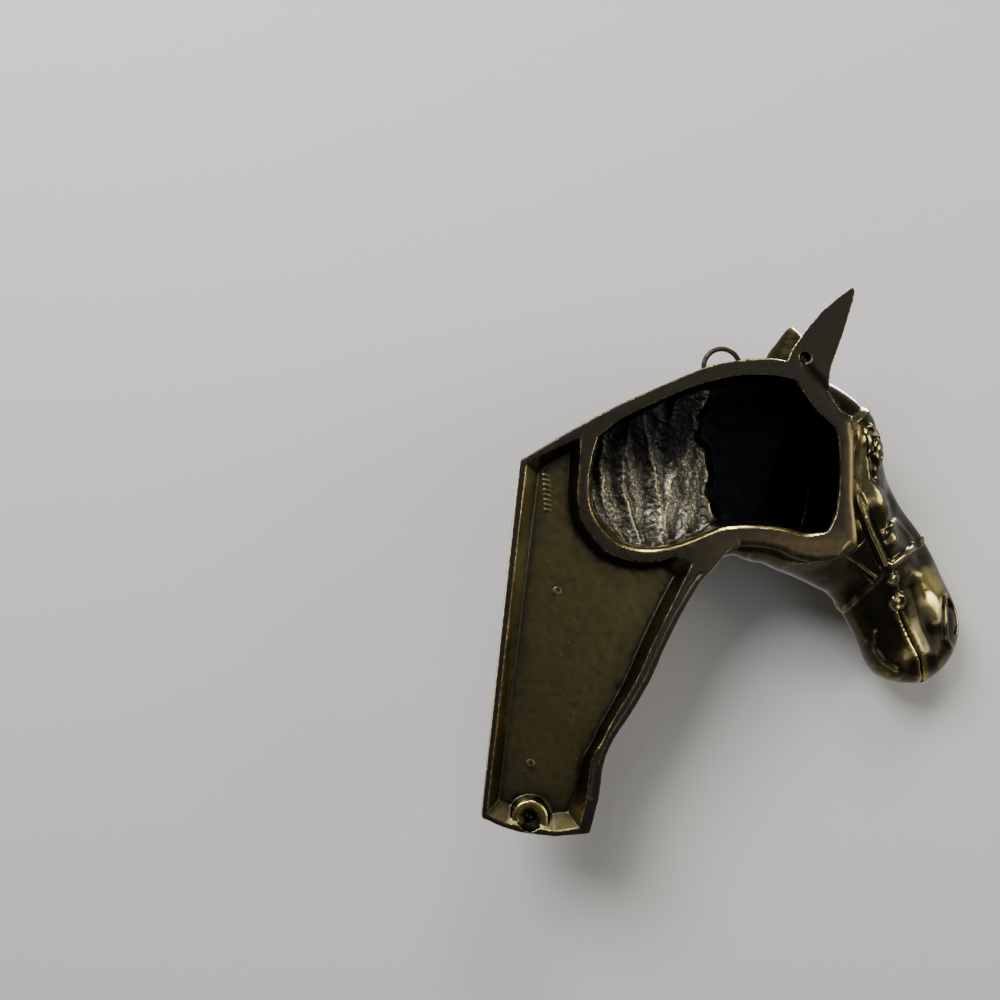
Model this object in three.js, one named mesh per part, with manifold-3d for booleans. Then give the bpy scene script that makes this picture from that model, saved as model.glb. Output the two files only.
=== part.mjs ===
// Horse relief plaque: a bridled horse's head and cut-off neck, cast in brass as one hollow-backed piece,
// with a bent wire hanging loop let into the crest. Millimetres, +Z up. The wall plane is y = 0 and the relief
// stands out of it towards -Y; the muzzle points to -X. The origin is on the flat rim under the hanging loop.
import * as THREE from "three";
import { mergeVertices } from "three/addons/utils/BufferGeometryUtils.js";
import Module from "manifold-3d";

const wasm = await Module();
wasm.setup();

const WALL_THICKNESS = 4.4; // metal left between the relief and the hollow behind it
const PLATE_DEPTH = 8; // upright edge all round the neck, before the relief starts to round over
const COLLAR_DEPTH = 15; // the raised seat behind the cheek, which brings the head up to the wall plane
const COLLAR_DRAFT = 2;
const TRAY_DEPTH = 7; // the sunk field behind the neck
const LIP_DEPTH = 3.5; // rounded mouth of the hollow
const LIP_NARROW = 1.2;
const LIP_WIDE = 4.4;
const HOLLOW_DEPTH = 60; // deeper than the metal, so the hollow's floor is always the inside of the relief
const HOLLOW_DRAFT = 2.4;
const STEP_EXTRA = 7; // extra metal behind the neck end of the hollow, so the head's pocket is a step deeper
const WALL_CLEARANCE = 1.4; // the head's own surface stays this far off the wall beside the seat
const MIDLINE_DEPTH = 15; // the horse's midline stands this far off the wall at the poll
const TURN = THREE.MathUtils.degToRad(18); // the head is turned this far out from the wall
const TURN_RUN = 30; // length of the bend
const THROAT = new THREE.Vector2(-2.3, -80.7);
const POLL = new THREE.Vector2(-35.1, 4.1);

const BODY_ROWS = 48;
const BODY_COLUMNS = 32;
const NECK_SHARE = 0.24; // share of the rows that lie on the neck
const HOLLOW_ROWS = 26;
const HOLLOW_COLUMNS = 16;
const EAR_ROWS = 9;
const EAR_COLUMNS = 8;

const STRAP_WIDTH = 3.2;
const STRAP_HEIGHT = 1.1;
const RING_RADIUS = 3.4;
const RING_WIRE = 0.9;

const LOOP_RADIUS = 8.2; // centre line of the hanging loop
const LOOP_WIRE = 1.2;
const LOOP_CENTRE = new THREE.Vector3(0, -3, 2.3);
const LOOP_LEG = 3.2;
const SOCKET_GAP = 0.35;

const BOSS = { x: 88, z: -204.7, radius: 8.2, foot: 9.6, top: -1.6 };
const SCREW_HOLE = { radius: 2.2, bottom: -9, cupRadius: 5.4, cupDepth: 4.2 };
const EAR_HOLE = { x: -37.8, z: 6.4, radius: 1.9, bottom: -4.6, cupRadius: 3.2, cupDepth: 1.4 };

// The head and neck in profile, before the head is turned out: pairs of points on the crest, forehead and nose
// line and on the throat and jaw line, and the shape of the slice between each pair. Half widths are from the
// horse's own midline, fullness is how much of that width is kept near the top and near the bottom.
const slice = (top, bottom, half, offWall, topFull, bottomFull) =>
  ({ top, bottom, half, offWall, topFull, bottomFull });
const SLICES = [
  slice([150, -235], [66, -234], 7, 8, 0.6, 0.75),
  slice([150, -195], [55.6, -199], 7.5, 8, 0.6, 0.75),
  slice([147, -135], [46.8, -167], 8.5, 8, 0.6, 0.75),
  slice([130, -74], [31.8, -141.6], 10.5, 8, 0.6, 0.75),
  slice([100, -45], [21.8, -119.6], 13, 8, 0.6, 0.75),
  slice([66, -25], [10.9, -100.8], 16, 9, 0.6, 0.78),
  slice([31, -7.5], [3, -89], 19, 11, 0.64, 0.82),
  slice([3, 3.5], [-6, -84.5], 21, 13, 0.68, 0.86),
  slice([-22, 5.5], [-14, -87], 21, 14.5, 0.74, 0.88),
  slice([-42, 0.5], [-22, -88.6], 21, MIDLINE_DEPTH, 0.8, 0.9),
  slice([-59, -7], [-29.5, -92], 22.5, MIDLINE_DEPTH, 0.88, 0.9),
  slice([-71.5, -17.5], [-37.5, -95], 23.5, MIDLINE_DEPTH, 0.9, 0.86),
  slice([-77.5, -33], [-44.5, -98], 23.5, MIDLINE_DEPTH, 0.84, 0.8),
  slice([-84, -48], [-51.5, -101.3], 22, MIDLINE_DEPTH, 0.76, 0.72),
  slice([-94.5, -62.6], [-58.5, -105], 19.5, MIDLINE_DEPTH, 0.7, 0.66),
  slice([-105.8, -75], [-65.5, -112], 17, MIDLINE_DEPTH, 0.68, 0.66),
  slice([-113.2, -85], [-71, -120], 15.6, MIDLINE_DEPTH, 0.7, 0.7),
  slice([-119.6, -96], [-76, -127.5], 15, MIDLINE_DEPTH, 0.74, 0.76),
  slice([-126.5, -108], [-80.5, -135.5], 15.2, MIDLINE_DEPTH, 0.82, 0.84),
  slice([-130.5, -116.5], [-85, -142.5], 15.6, MIDLINE_DEPTH, 0.86, 0.9),
  slice([-131.5, -124], [-90.5, -148], 15, MIDLINE_DEPTH, 0.9, 0.95),
  slice([-129, -132], [-97, -150.4], 13.6, MIDLINE_DEPTH, 0.95, 0.95),
  slice([-124, -139.5], [-103, -151], 11, MIDLINE_DEPTH, 1, 1),
  slice([-118.5, -145.5], [-108.5, -151], 7, MIDLINE_DEPTH, 1, 1),
  slice([-114.5, -149], [-112.5, -150], 2.5, MIDLINE_DEPTH, 1, 1),
];
const LAST = SLICES.length - 1;

// Small tools for smooth values, outlines and solids

const smooth = (x, from, to) => THREE.MathUtils.smoothstep(x, Math.min(from, to), Math.max(from, to));
const fade = (x, from, to) => (from < to ? smooth(x, from, to) : 1 - smooth(x, to, from));
const runOf = (values) => {
  const curve = new THREE.SplineCurve(values.map((v, i) => new THREE.Vector2(i, v)));
  return (t) => curve.getPoint(t).y;
};
const lineOf = (points) => new THREE.SplineCurve(points.map(([x, z]) => new THREE.Vector2(x, z)));

// A closed outline as points: straight where it is given one point at a time, smooth through a nested list.
function outline(start, ...parts) {
  const path = new THREE.Path().moveTo(...start);
  for (const part of parts) {
    if (Array.isArray(part[0])) path.splineThru(part.map(([x, z]) => new THREE.Vector2(x, z)));
    else path.lineTo(...part);
  }
  const drawn = path.getPoints(2);
  if (drawn[0].distanceTo(drawn[drawn.length - 1]) < 0.01) drawn.pop();
  const points = drawn.filter((p, i) => {
    const before = drawn[(i + drawn.length - 1) % drawn.length];
    const after = drawn[(i + 1) % drawn.length];
    return Math.abs(p.clone().sub(before).cross(after.clone().sub(p))) > 1e-3;
  });
  return THREE.ShapeUtils.isClockWise(points) ? points.reverse() : points;
}

// Moves each point of an outline inwards, by an amount that may follow the edge's outward direction.
function inset(points, amount) {
  return points.map((p, i) => {
    const before = points[(i + points.length - 1) % points.length];
    const after = points[(i + 1) % points.length];
    const along = after.clone().sub(before).normalize();
    const outward = new THREE.Vector2(along.y, -along.x);
    return p.clone().addScaledVector(outward, -amount(outward));
  });
}

// A closed solid through outlines of equal length, each at its own depth y, from the wall side forwards.
function stack(levels) {
  const count = levels[0].points.length;
  const positions = [];
  const at = (level, i) => {
    const { points, y } = levels[level];
    const p = points[(i + count) % count];
    return [p.x, y, p.y];
  };
  const face = (a, b, c) => positions.push(...a, ...b, ...c);
  for (let level = 0; level < levels.length - 1; level++) {
    for (let i = 0; i < count; i++) {
      face(at(level, i), at(level, i + 1), at(level + 1, i));
      face(at(level, i + 1), at(level + 1, i + 1), at(level + 1, i));
    }
  }
  const top = levels.length - 1;
  for (const [a, b, c] of THREE.ShapeUtils.triangulateShape([...levels[0].points], [])) {
    face(at(0, a), at(0, c), at(0, b));
  }
  for (const [a, b, c] of THREE.ShapeUtils.triangulateShape([...levels[top].points], [])) {
    face(at(top, a), at(top, b), at(top, c));
  }
  return new THREE.BufferGeometry().setAttribute("position", new THREE.Float32BufferAttribute(positions, 3));
}

function solid(geometry) {
  const bare = new THREE.BufferGeometry().setAttribute("position", geometry.getAttribute("position").clone());
  if (geometry.index) bare.setIndex(geometry.index.clone());
  const merged = mergeVertices(bare, 1e-4);
  const make = (triVerts) => new wasm.Manifold(new wasm.Mesh({
    numProp: 3,
    vertProperties: new Float32Array(merged.attributes.position.array),
    triVerts,
  }));
  const faces = new Uint32Array(merged.index.array);
  const made = make(faces);
  if (made.volume() > 0) return made;
  for (let i = 0; i < faces.length; i += 3) [faces[i], faces[i + 1]] = [faces[i + 1], faces[i]];
  return make(faces);
}

function geometryOf(manifold) {
  const { numProp, vertProperties, triVerts } = manifold.getMesh();
  const positions = new Float32Array((vertProperties.length / numProp) * 3);
  for (let i = 0; i * numProp < vertProperties.length; i++) {
    positions.set(vertProperties.subarray(i * numProp, i * numProp + 3), i * 3);
  }
  const geometry = new THREE.BufferGeometry();
  geometry.setAttribute("position", new THREE.BufferAttribute(positions, 3));
  geometry.setIndex(new THREE.BufferAttribute(new Uint32Array(triVerts), 1));
  return geometry;
}

// A round form made from a sphere: rows run along it from 0 to 1, columns go round it by angle.
function skin(rows, columns, place) {
  const geometry = new THREE.SphereGeometry(1, columns, rows);
  const position = geometry.getAttribute("position");
  for (let row = 0; row <= rows; row++) {
    for (let column = 0; column <= columns; column++) {
      const angle = ((column % columns) / columns) * 2 * Math.PI;
      const along = THREE.MathUtils.clamp((row - 1) / (rows - 2), 0, 1);
      const pole = row === 0 || row === rows;
      const p = place(along, angle, pole);
      position.setXYZ(row * (columns + 1) + column, p.x, p.y, p.z);
    }
  }
  return geometry;
}

// The horse's form

const topLine = lineOf(SLICES.map((s) => s.top));
const bottomLine = lineOf(SLICES.map((s) => s.bottom));
const halfWidth = runOf(SLICES.map((s) => s.half));
const offWall = runOf(SLICES.map((s) => s.offWall));
const topFullness = runOf(SLICES.map((s) => s.topFull));
const bottomFullness = runOf(SLICES.map((s) => s.bottomFull));

const up = POLL.clone().sub(THROAT).normalize();
const forward = new THREE.Vector2(-up.y, up.x);

// Swings what lies ahead of the line from throat to poll out from the wall, round that line.
function turnHead(profile, lateral, depth) {
  const q = profile.clone().sub(THROAT);
  const high = q.dot(up);
  const ahead = q.dot(forward);
  const angle = THREE.MathUtils.clamp(ahead / TURN_RUN, 0, 1) * TURN;
  const radius = TURN_RUN / TURN;
  const past = Math.max(ahead - TURN_RUN, 0);
  const reach = (ahead < 0 ? ahead : radius * Math.sin(angle) + past * Math.cos(TURN)) + lateral * Math.sin(angle);
  const out = radius * (1 - Math.cos(angle)) + past * Math.sin(TURN);
  const flat = THROAT.clone().addScaledVector(up, high).addScaledVector(forward, reach);
  return new THREE.Vector3(flat.x, lateral * Math.cos(angle) - out - depth, flat.y);
}

const mound = (p, x, z, radius, height) => height * Math.exp(-((p.x - x) ** 2 + (p.y - z) ** 2) / radius ** 2);
const disc = (p, x, z, radius, edge, height) =>
  height * fade(Math.hypot(p.x - x, p.y - z), radius + edge, radius - edge);

function awayFromLine(p, points) {
  let least = Infinity;
  for (let i = 0; i < points.length - 1; i++) {
    const [ax, az] = points[i];
    const [bx, bz] = points[i + 1];
    const share = THREE.MathUtils.clamp(
      ((p.x - ax) * (bx - ax) + (p.y - az) * (bz - az)) / ((bx - ax) ** 2 + (bz - az) ** 2), 0, 1);
    least = Math.min(least, Math.hypot(p.x - ax - share * (bx - ax), p.y - az - share * (bz - az)));
  }
  return least;
}
const ridge = (p, points, width, height) => height * Math.exp(-((awayFromLine(p, points) / width) ** 2));

// What the modeller raised or sank on the sides of the head and neck, in millimetres along the surface's own way out.
function relief(p, t) {
  const station = t * LAST;
  let h = disc(p, -33, -62, 26, 6, 3); // cheek
  h += mound(p, -65, -29, 9.5, 2.4); // socket of the eye
  h += ridge(p, [[-72, -20.5], [-65, -20], [-58.5, -24], [-57, -31]], 3.2, 1.8); // brow
  h += mound(p, -54, -13, 6, -2.2); // hollow over the eye
  h += ridge(p, [[-73.5, -36], [-68, -39], [-60.5, -36.5]], 2.6, 1.2); // lower lid
  h += ridge(p, [[-64, -48], [-72, -62], [-80, -76]], 4.5, 2.2); // facial crest
  h += ridge(p, [[-82, -55], [-101, -84]], 5.5, -1.8); // beside the nose bone
  h += ridge(p, [[-58, -90], [-75, -116]], 6, -1.4); // bars of the jaw
  h += mound(p, -117, -116, 9, 2.4); // wing of the nostril
  h += mound(p, -114, -134, 9, 1.4); // upper lip
  h += mound(p, -92, -138, 8, 1.8); // chin
  h += ridge(p, [[8, -32], [40, -52], [80, -90]], 15, 2.4); // muscle below the crest
  h += ridge(p, [[2, -78], [26, -104], [56, -150], [70, -195]], 7, -2); // groove along the windpipe
  if (station < 8.6) h += 1.2 * fade(awayFromLine(p, CREST), 24, 17); // root of the mane
  return h;
}
const CREST = [[-32, 5], [-3, 4.6], [28.7, -6.8], [65, -24.6], [92.6, -40.6], [110, -52]];

// A point of the horse's surface. Angle 0 is the crest or nose line, a quarter turn on is the front of the
// relief, half a turn is the throat or jaw line, and three quarters is the side next to the wall.
function surface(t, angle, raise = 0, wallSide = null) {
  const top = topLine.getPoint(t);
  const bottom = bottomLine.getPoint(t);
  const height = Math.cos(angle);
  const side = Math.sin(angle);
  const full = height > 0 ? topFullness(t) : bottomFullness(t);
  const shape = Math.abs(side) ** 0.78 * THREE.MathUtils.lerp(1, full, Math.abs(height) ** 1.6);
  const centre = top.clone().add(bottom).multiplyScalar(0.5);
  const profile = centre.clone().addScaledVector(top.clone().sub(bottom).multiplyScalar(0.5), height);
  const inside = wallSide !== null;
  const half = side < 0 && inside ? wallSide : halfWidth(t);
  const lift = raise + (inside ? 0 : relief(profile, t) * Math.abs(side) ** 0.6);
  const outwards = top.clone().sub(bottom).normalize().multiplyScalar(height * lift);
  const lateral = -Math.sign(side) * (half * shape + Math.abs(side) * lift);
  const p = turnHead(profile.add(outwards), lateral, offWall(t));
  if (!inside) p.y = -WALL_CLEARANCE - 2 * Math.log(1 + Math.exp(-(p.y + WALL_CLEARANCE) / 2));
  return p;
}

function body() {
  const { mapLinear } = THREE.MathUtils;
  return solid(skin(BODY_ROWS, BODY_COLUMNS, (along, angle, pole) => {
    const neck = along < NECK_SHARE;
    const t = (neck ? mapLinear(along, 0, NECK_SHARE, 0.6, 8) : mapLinear(along, NECK_SHARE, 1, 8, LAST)) / LAST;
    if (!pole) return surface(t, angle);
    return surface(t, 0).add(surface(t, Math.PI)).multiplyScalar(0.5);
  }));
}

// Outlines in the wall plane, as x and z

const BAND_RIGHT = [[-44.2, -4.1], [-53.4, -16.9], [-59, -23], [-60.3, -33], [-60.3, -58.8], [-61.5, -70]];
const BAND_LOWER = [[-53.4, -86], [-43, -87.3], [-32.8, -85.3], [-26, -82.1], [-16.9, -80.3], [-7.8, -79.8]];
const THROAT_LINE = [[4.5, -90.5], [9.1, -95.3], [12.8, -100.8], [19.6, -112.6], [26.4, -126.3], [32.4, -140],
  [40.1, -153.7], [49.2, -167.4], [54.3, -179.7], [56.5, -195.6], [60.6, -211.1]];
const CUT_TOP = [92.6, -40.6];
const CUT_FOOT = [110.4, -203.8];
const BOTTOM_EDGE = [[76.6, -212.5], [92.6, -210.6], [101, -208], CUT_FOOT];

const footprint = outline(
  CUT_TOP,
  [[65, -24.6], [47, -15], [28.7, -6.8], [10.5, 0.9], [-3.2, 4.6], [-21.4, 5.9], [-32, 4]],
  [...BAND_RIGHT, [-62.3, -80.5]],
  [...BAND_LOWER, [-2.5, -82]],
  THROAT_LINE,
  BOTTOM_EDGE,
);
const collarFoot = outline([-32, 2], [...BAND_RIGHT, [-62.3, -80.5]], [...BAND_LOWER, [-2.5, -80]], [12, -60], [0, -12]);
const hollowMouth = outline(
  [57.5, -29.5],
  [[47, -21.5], [37.8, -16.4], [28, -12], [19.6, -8.4], [10, -5.3], [1.4, -3], [-8, -1.4], [-17, -0.6], [-31.5, -0.6]],
  [[-38, -10], [-44, -18], [-50.5, -24], [-53.3, -30], [-54, -40], [-53.8, -54], [-52.6, -65]],
  [[-48.5, -73.6], [-43.5, -76.4], [-36, -77], [-28, -74.8], [-19, -73.6], [-9, -73.3], [0, -74], [6, -76], [12, -78.5]],
  [[20, -81.5], [28, -83.5], [36, -84.2], [43.5, -83], [50.6, -79.8], [57, -73.4], [61.2, -66], [62.8, -57], [62.4, -48]],
  [60.5, -38],
);
const trayRim = outline(
  [89.8, -42], [107.9, -202.4], [99, -206.4], [76.8, -210.2], [65.4, -208.6],
  [[62, -195.6], [59.7, -177.4], [54.7, -168.3], [50.6, -160], [39.2, -140.9], [31, -122.7], [21.9, -104.4], [13.5, -87]],
  [[20, -84.4], [28, -86.2], [36, -87], [44.6, -85.6], [52.6, -82.2], [59.5, -75.2], [64.5, -66.6], [66, -56.5], [65.4, -46]],
  [64.6, -29.4], [84, -38.8],
);
const trayFloor = outline(
  [83.8, -46.6], [102.4, -197.6], [95, -200.6], [77, -203.6], [70.4, -203],
  [[66.6, -194], [64, -180], [59, -170.6], [55.4, -163], [44.6, -143.4], [36.6, -125], [28.4, -107.6], [21, -94]],
  [[26, -89.6], [32, -90.4], [37, -90.6], [46.4, -89], [55.6, -85], [63, -77.4], [68.4, -68], [70.2, -57], [69.8, -47]],
  [69.2, -36.4], [80.4, -42.6],
);

// Everything outside this is above the crest or is what the neck was cut off from.
function keep() {
  const points = outline([-14, 75], [-14, 6.2],
    [[-3.2, 4.9], [10.5, 1.2], [28.7, -6.5], [47, -14.7], [65, -24.3], [93, -40.6]],
    CUT_FOOT, [101, -208], [92.6, -210.6], [76.6, -212.5],
    ...THROAT_LINE.slice(1).reverse(), [4, -240], [-180, -240], [-180, 75]);
  return solid(stack([{ points, y: 0 }, { points, y: -120 }]));
}

function plate() {
  return solid(stack([{ points: footprint, y: 0 }, { points: footprint, y: -PLATE_DEPTH }]));
}

function collar() {
  return solid(stack([
    { points: collarFoot, y: 0 },
    { points: inset(collarFoot, () => -COLLAR_DRAFT), y: -COLLAR_DEPTH },
  ]));
}

// The hollow is as wide as its mouth and draft let it be, and as deep as the metal left in front of it.
function hollow() {
  const lip = (outward) => LIP_NARROW + (LIP_WIDE - LIP_NARROW) * Math.max(0, 0.5 * outward.x - 0.86 * outward.y);
  const neck = inset(hollowMouth, lip);
  const mouth = solid(stack([
    { points: hollowMouth, y: 2 },
    { points: hollowMouth, y: 0 },
    { points: neck, y: -LIP_DEPTH },
    { points: inset(neck, () => HOLLOW_DRAFT), y: -HOLLOW_DEPTH },
  ]));
  const inside = solid(skin(HOLLOW_ROWS, HOLLOW_COLUMNS, (along, angle, pole) => {
    const t = THREE.MathUtils.lerp(3.6, 15, along) / LAST;
    const extra = STEP_EXTRA * fade(t * LAST, 6.9, 6.6) * Math.max(Math.sin(angle), 0);
    const place = (a) => surface(t, a, -WALL_THICKNESS - extra, 45);
    return pole ? place(0).add(place(Math.PI)).multiplyScalar(0.5) : place(angle);
  }));
  return mouth.intersect(inside);
}

function turned(profile, x, z, segments = 20) {
  const geometry = new THREE.LatheGeometry(profile.map(([r, y]) => new THREE.Vector2(r, y)), segments);
  return solid(geometry.translate(x, 0, z));
}

function tray() {
  const field = solid(stack([
    { points: trayRim, y: 2 },
    { points: trayRim, y: 0 },
    { points: trayFloor, y: -TRAY_DEPTH },
  ]));
  const boss = turned([[0, -20], [BOSS.foot, -20], [BOSS.foot, -TRAY_DEPTH], [BOSS.radius, BOSS.top], [0, BOSS.top]],
    BOSS.x, BOSS.z);
  return field.subtract(boss);
}

function blindHole(hole, x, z, mouthY) {
  return turned([
    [0, hole.bottom], [hole.radius, hole.bottom], [hole.radius, mouthY - hole.cupDepth],
    [hole.cupRadius, mouthY], [hole.cupRadius, 3], [0, 3],
  ], x, z);
}

// An ear is a leaf between its two edges, thin, and cupped on one side.
function ear({ left, right, thick, depth, cup }) {
  const leftEdge = lineOf(left);
  const rightEdge = lineOf(right);
  const thickness = runOf(thick);
  const standsOff = runOf(depth);
  return solid(skin(EAR_ROWS, EAR_COLUMNS, (along, angle, pole) => {
    const a = leftEdge.getPoint(along);
    const b = rightEdge.getPoint(along);
    const across = pole ? 0 : Math.cos(angle);
    const middle = a.clone().add(b).multiplyScalar(0.5);
    const flat = middle.addScaledVector(a.sub(b).multiplyScalar(0.5), across);
    const face = pole ? 0 : Math.sin(angle) * thickness(along);
    const hollowed = face > 0 ? cup * (1 - across ** 2) * fade(along, 1, 0.75) * smooth(along, 0, 0.3) : 0;
    return new THREE.Vector3(flat.x, -standsOff(along) - face + hollowed, flat.y);
  }));
}

const NEAR_EAR = {
  left: [[-28, -2], [-30.6, 7.8], [-35, 15], [-40, 21.6], [-45.5, 27.6], [-51.5, 33], [-56.5, 36.6], [-59.6, 38.6]],
  right: [[-48.8, -8], [-49.2, 0], [-51.2, 6.2], [-53.6, 12.8], [-56, 20], [-58.2, 27.5], [-59.9, 33.5], [-60, 38]],
  thick: [10, 8, 6, 5, 4.4, 3.6, 2.6, 0.8],
  depth: [2, 1, 0, 0, 0, 0, 0, 0],
  cup: 0,
};
const FAR_EAR = {
  left: [[-24, -2], [-25, 7], [-28, 12.5], [-32, 17], [-35.5, 21.4], [-38.6, 24.8], [-40.9, 26.2]],
  right: [[-47, -10], [-49, -1], [-50, 6], [-49.6, 12.5], [-47.4, 18.5], [-44.4, 23], [-41.6, 26]],
  thick: [6, 5.6, 5.2, 4.6, 3.6, 2.4, 0.8],
  depth: [20, 25, 29, 32, 34.5, 36.5, 38],
  cup: 4.2,
};

// Each eye is a ball in its socket with a raised lid all round it.
const EYE = { station: 11.15, degrees: 48, radius: 5.4, sunk: 3.6, lidAlong: 0.56, lidRound: 8.5 };

function eye(side) {
  const seat = surface(EYE.station / LAST, side * THREE.MathUtils.degToRad(EYE.degrees), -EYE.sunk);
  const ball = new THREE.SphereGeometry(EYE.radius, 12, 8).translate(seat.x, seat.y, seat.z);
  const rim = Array.from({ length: 9 }, (_, i) => [
    EYE.station + EYE.lidAlong * Math.cos((i * Math.PI) / 4),
    side * (EYE.degrees + EYE.lidRound * Math.sin((i * Math.PI) / 4)),
  ]);
  return solid(ball).add(strap(rim, { width: 2.6, height: 1.2, steps: 10, closed: true }));
}

// The mouth is a groove from the bit to the front of the lips, and each nostril a bent hollow.
const MOUTH = [[16.3, 106], [17, 108], [18, 108], [19.1, 108], [20.1, 112], [21.2, 118], [22.2, 126]];
const NOSTRIL = [[17.7, 47], [18.3, 41], [19, 44], [19.5, 55]];

function faceCuts() {
  const mirrored = (stops) => stops.map(([station, degrees]) => [station, -degrees]);
  return [
    strap(MOUTH, { width: 2.6, height: 1.3, steps: 8, section: GROOVE }),
    strap(mirrored(MOUTH), { width: 2.6, height: 1.3, steps: 8, section: GROOVE }),
    strap(NOSTRIL, { width: 6.4, height: 2.6, steps: 7, section: GROOVE, taper: 0.6 }),
    strap(mirrored(NOSTRIL), { width: 6.4, height: 2.6, steps: 7, section: GROOVE, taper: 0.6 }),
  ];
}

// The bridle, cast in one with the head

function outOf(t, angle) {
  const e = 0.01;
  const alongT = surface(Math.min(t + e / 4, 1), angle).sub(surface(t - e / 4, angle));
  const round = surface(t, angle + e).sub(surface(t, angle - e));
  return round.cross(alongT).normalize().multiplyScalar(-1);
}

// A strap is a flat band laid on the surface, along stops given as slice number and angle in degrees. Its section
// is given in half widths and heights; the end of a tapered one is that much narrower than its start.
const FLAT_BAND = [[-1, -1.6], [1, -1.6], [0.82, 1], [-0.82, 1]];
const GROOVE = [[-0.25, -1.6], [0.25, -1.6], [1, 1], [-1, 1]];
function strap(stops, { width = STRAP_WIDTH, height = STRAP_HEIGHT, steps = 12, closed = false,
  section = FLAT_BAND, taper = 1 } = {}) {
  const route = new THREE.CatmullRomCurve3(
    stops.map(([station, degrees]) => new THREE.Vector3(station, degrees, 0)), false, "centripetal");
  const sections = [];
  for (let i = 0; i <= steps; i++) {
    const u = i / steps;
    const at = route.getPoint(u);
    const next = route.getPoint(Math.min(u + 0.004, 1));
    const last = route.getPoint(Math.max(u - 0.004, 0));
    const spot = (q) => surface(q.x / LAST, THREE.MathUtils.degToRad(q.y));
    const centre = spot(at);
    const out = outOf(at.x / LAST, THREE.MathUtils.degToRad(at.y));
    const along = spot(next).sub(spot(last)).normalize();
    const across = out.clone().cross(along).normalize();
    const narrowed = THREE.MathUtils.lerp(1, taper, u);
    sections.push(section.map(([w, h]) => centre.clone()
      .addScaledVector(across, (w * width * narrowed) / 2)
      .addScaledVector(out, h * height * narrowed)));
  }
  if (closed) sections.pop();
  const count = sections.length;
  const positions = [];
  const face = (...points) => points.forEach((p) => positions.push(p.x, p.y, p.z));
  for (let i = 0; i < (closed ? count : count - 1); i++) {
    const here = sections[i];
    const there = sections[(i + 1) % count];
    for (let k = 0; k < 4; k++) {
      const m = (k + 1) % 4;
      face(here[k], here[m], there[k]);
      face(here[m], there[m], there[k]);
    }
  }
  if (!closed) {
    const [a, b] = [sections[0], sections[count - 1]];
    face(a[0], a[2], a[1]);
    face(a[0], a[3], a[2]);
    face(b[0], b[1], b[2]);
    face(b[0], b[2], b[3]);
  }
  return solid(new THREE.BufferGeometry().setAttribute("position", new THREE.Float32BufferAttribute(positions, 3)));
}

function ring(station, degrees, radius = RING_RADIUS) {
  const t = station / LAST;
  const angle = THREE.MathUtils.degToRad(degrees);
  const out = outOf(t, angle);
  const geometry = new THREE.TorusGeometry(radius, RING_WIRE, 5, 12);
  geometry.applyQuaternion(new THREE.Quaternion().setFromUnitVectors(new THREE.Vector3(0, 0, 1), out));
  const seat = surface(t, angle).addScaledVector(out, 0.5);
  return solid(geometry.translate(seat.x, seat.y, seat.z));
}

const NOSEBAND = [[15.3, 0], [15.1, 40], [14.6, 74], [14.4, 100], [14.6, 130], [14.8, 152], [15.1, 180]];
const MANE_STATIONS = [8.45, 7.95, 7.5, 7.07, 6.68, 6.32, 5.98, 5.65, 5.33, 5.02, 4.72, 4.42];
const MANE_WIDTHS = [10, 11, 11.5, 11.5, 11.5, 11.5, 11.5, 11.5, 11, 11, 11, 11];
const BRIDLE = {
  noseband: [...NOSEBAND, ...NOSEBAND.slice(0, -1).reverse().map(([station, degrees]) => [station, 360 - degrees])],
  cheekpiece: [[9.4, 40], [9.9, 62], [10.6, 82], [12, 90], [13.2, 92], [14.3, 96], [16, 104]],
  throatlatch: [[9.1, 44], [8.7, 80], [8.5, 115], [8.5, 150], [8.6, 176]],
  browband: [[9.9, 54], [10.6, 28], [10.95, 0], [10.6, -28], [9.9, -54]],
  headpiece: [[9.4, 44], [8.9, 26], [8.2, 4]],
  bitRing: [16, 104],
  nosebandRing: [14.9, 98],
};

function bridle() {
  const mirrored = (stops) => stops.map(([station, degrees]) => [station, -degrees]);
  const [bitStation, bitAngle] = BRIDLE.bitRing;
  const [buckleStation, buckleAngle] = BRIDLE.nosebandRing;
  return [
    strap(BRIDLE.noseband, { steps: 24, closed: true }),
    strap(BRIDLE.cheekpiece),
    strap(mirrored(BRIDLE.cheekpiece)),
    strap(BRIDLE.throatlatch),
    strap(BRIDLE.browband),
    strap(BRIDLE.headpiece, { steps: 6 }),
    ring(bitStation, bitAngle),
    ring(bitStation, -bitAngle),
    ring(buckleStation, buckleAngle, RING_RADIUS * 0.6),
    ring(buckleStation, -buckleAngle, RING_RADIUS * 0.6),
  ];
}

// The mane lies in combed locks down the front of the neck.
function mane() {
  return MANE_STATIONS.map((station, i) => strap(
    [[station, 7], [station - 0.06, 24], [station - 0.2, 38], [station - 0.42, i % 2 ? 50 : 55]],
    { width: MANE_WIDTHS[i], height: 1.5, steps: 4, taper: 0.45 }));
}

function casting() {
  let metal = body().intersect(keep()).add(plate()).add(collar());
  for (const piece of [ear(NEAR_EAR), ear(FAR_EAR), eye(1), eye(-1), ...mane(), ...bridle()]) metal = metal.add(piece);
  for (const cut of faceCuts()) metal = metal.subtract(cut);
  metal = metal.intersect(keep()).subtract(hollow()).subtract(tray());
  metal = metal.subtract(blindHole(SCREW_HOLE, BOSS.x, BOSS.z, BOSS.top));
  metal = metal.subtract(blindHole(EAR_HOLE, EAR_HOLE.x, EAR_HOLE.z, 0));
  return metal.subtract(solid(wireLoop(LOOP_WIRE + SOCKET_GAP, LOOP_LEG + SOCKET_GAP)));
}

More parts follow.
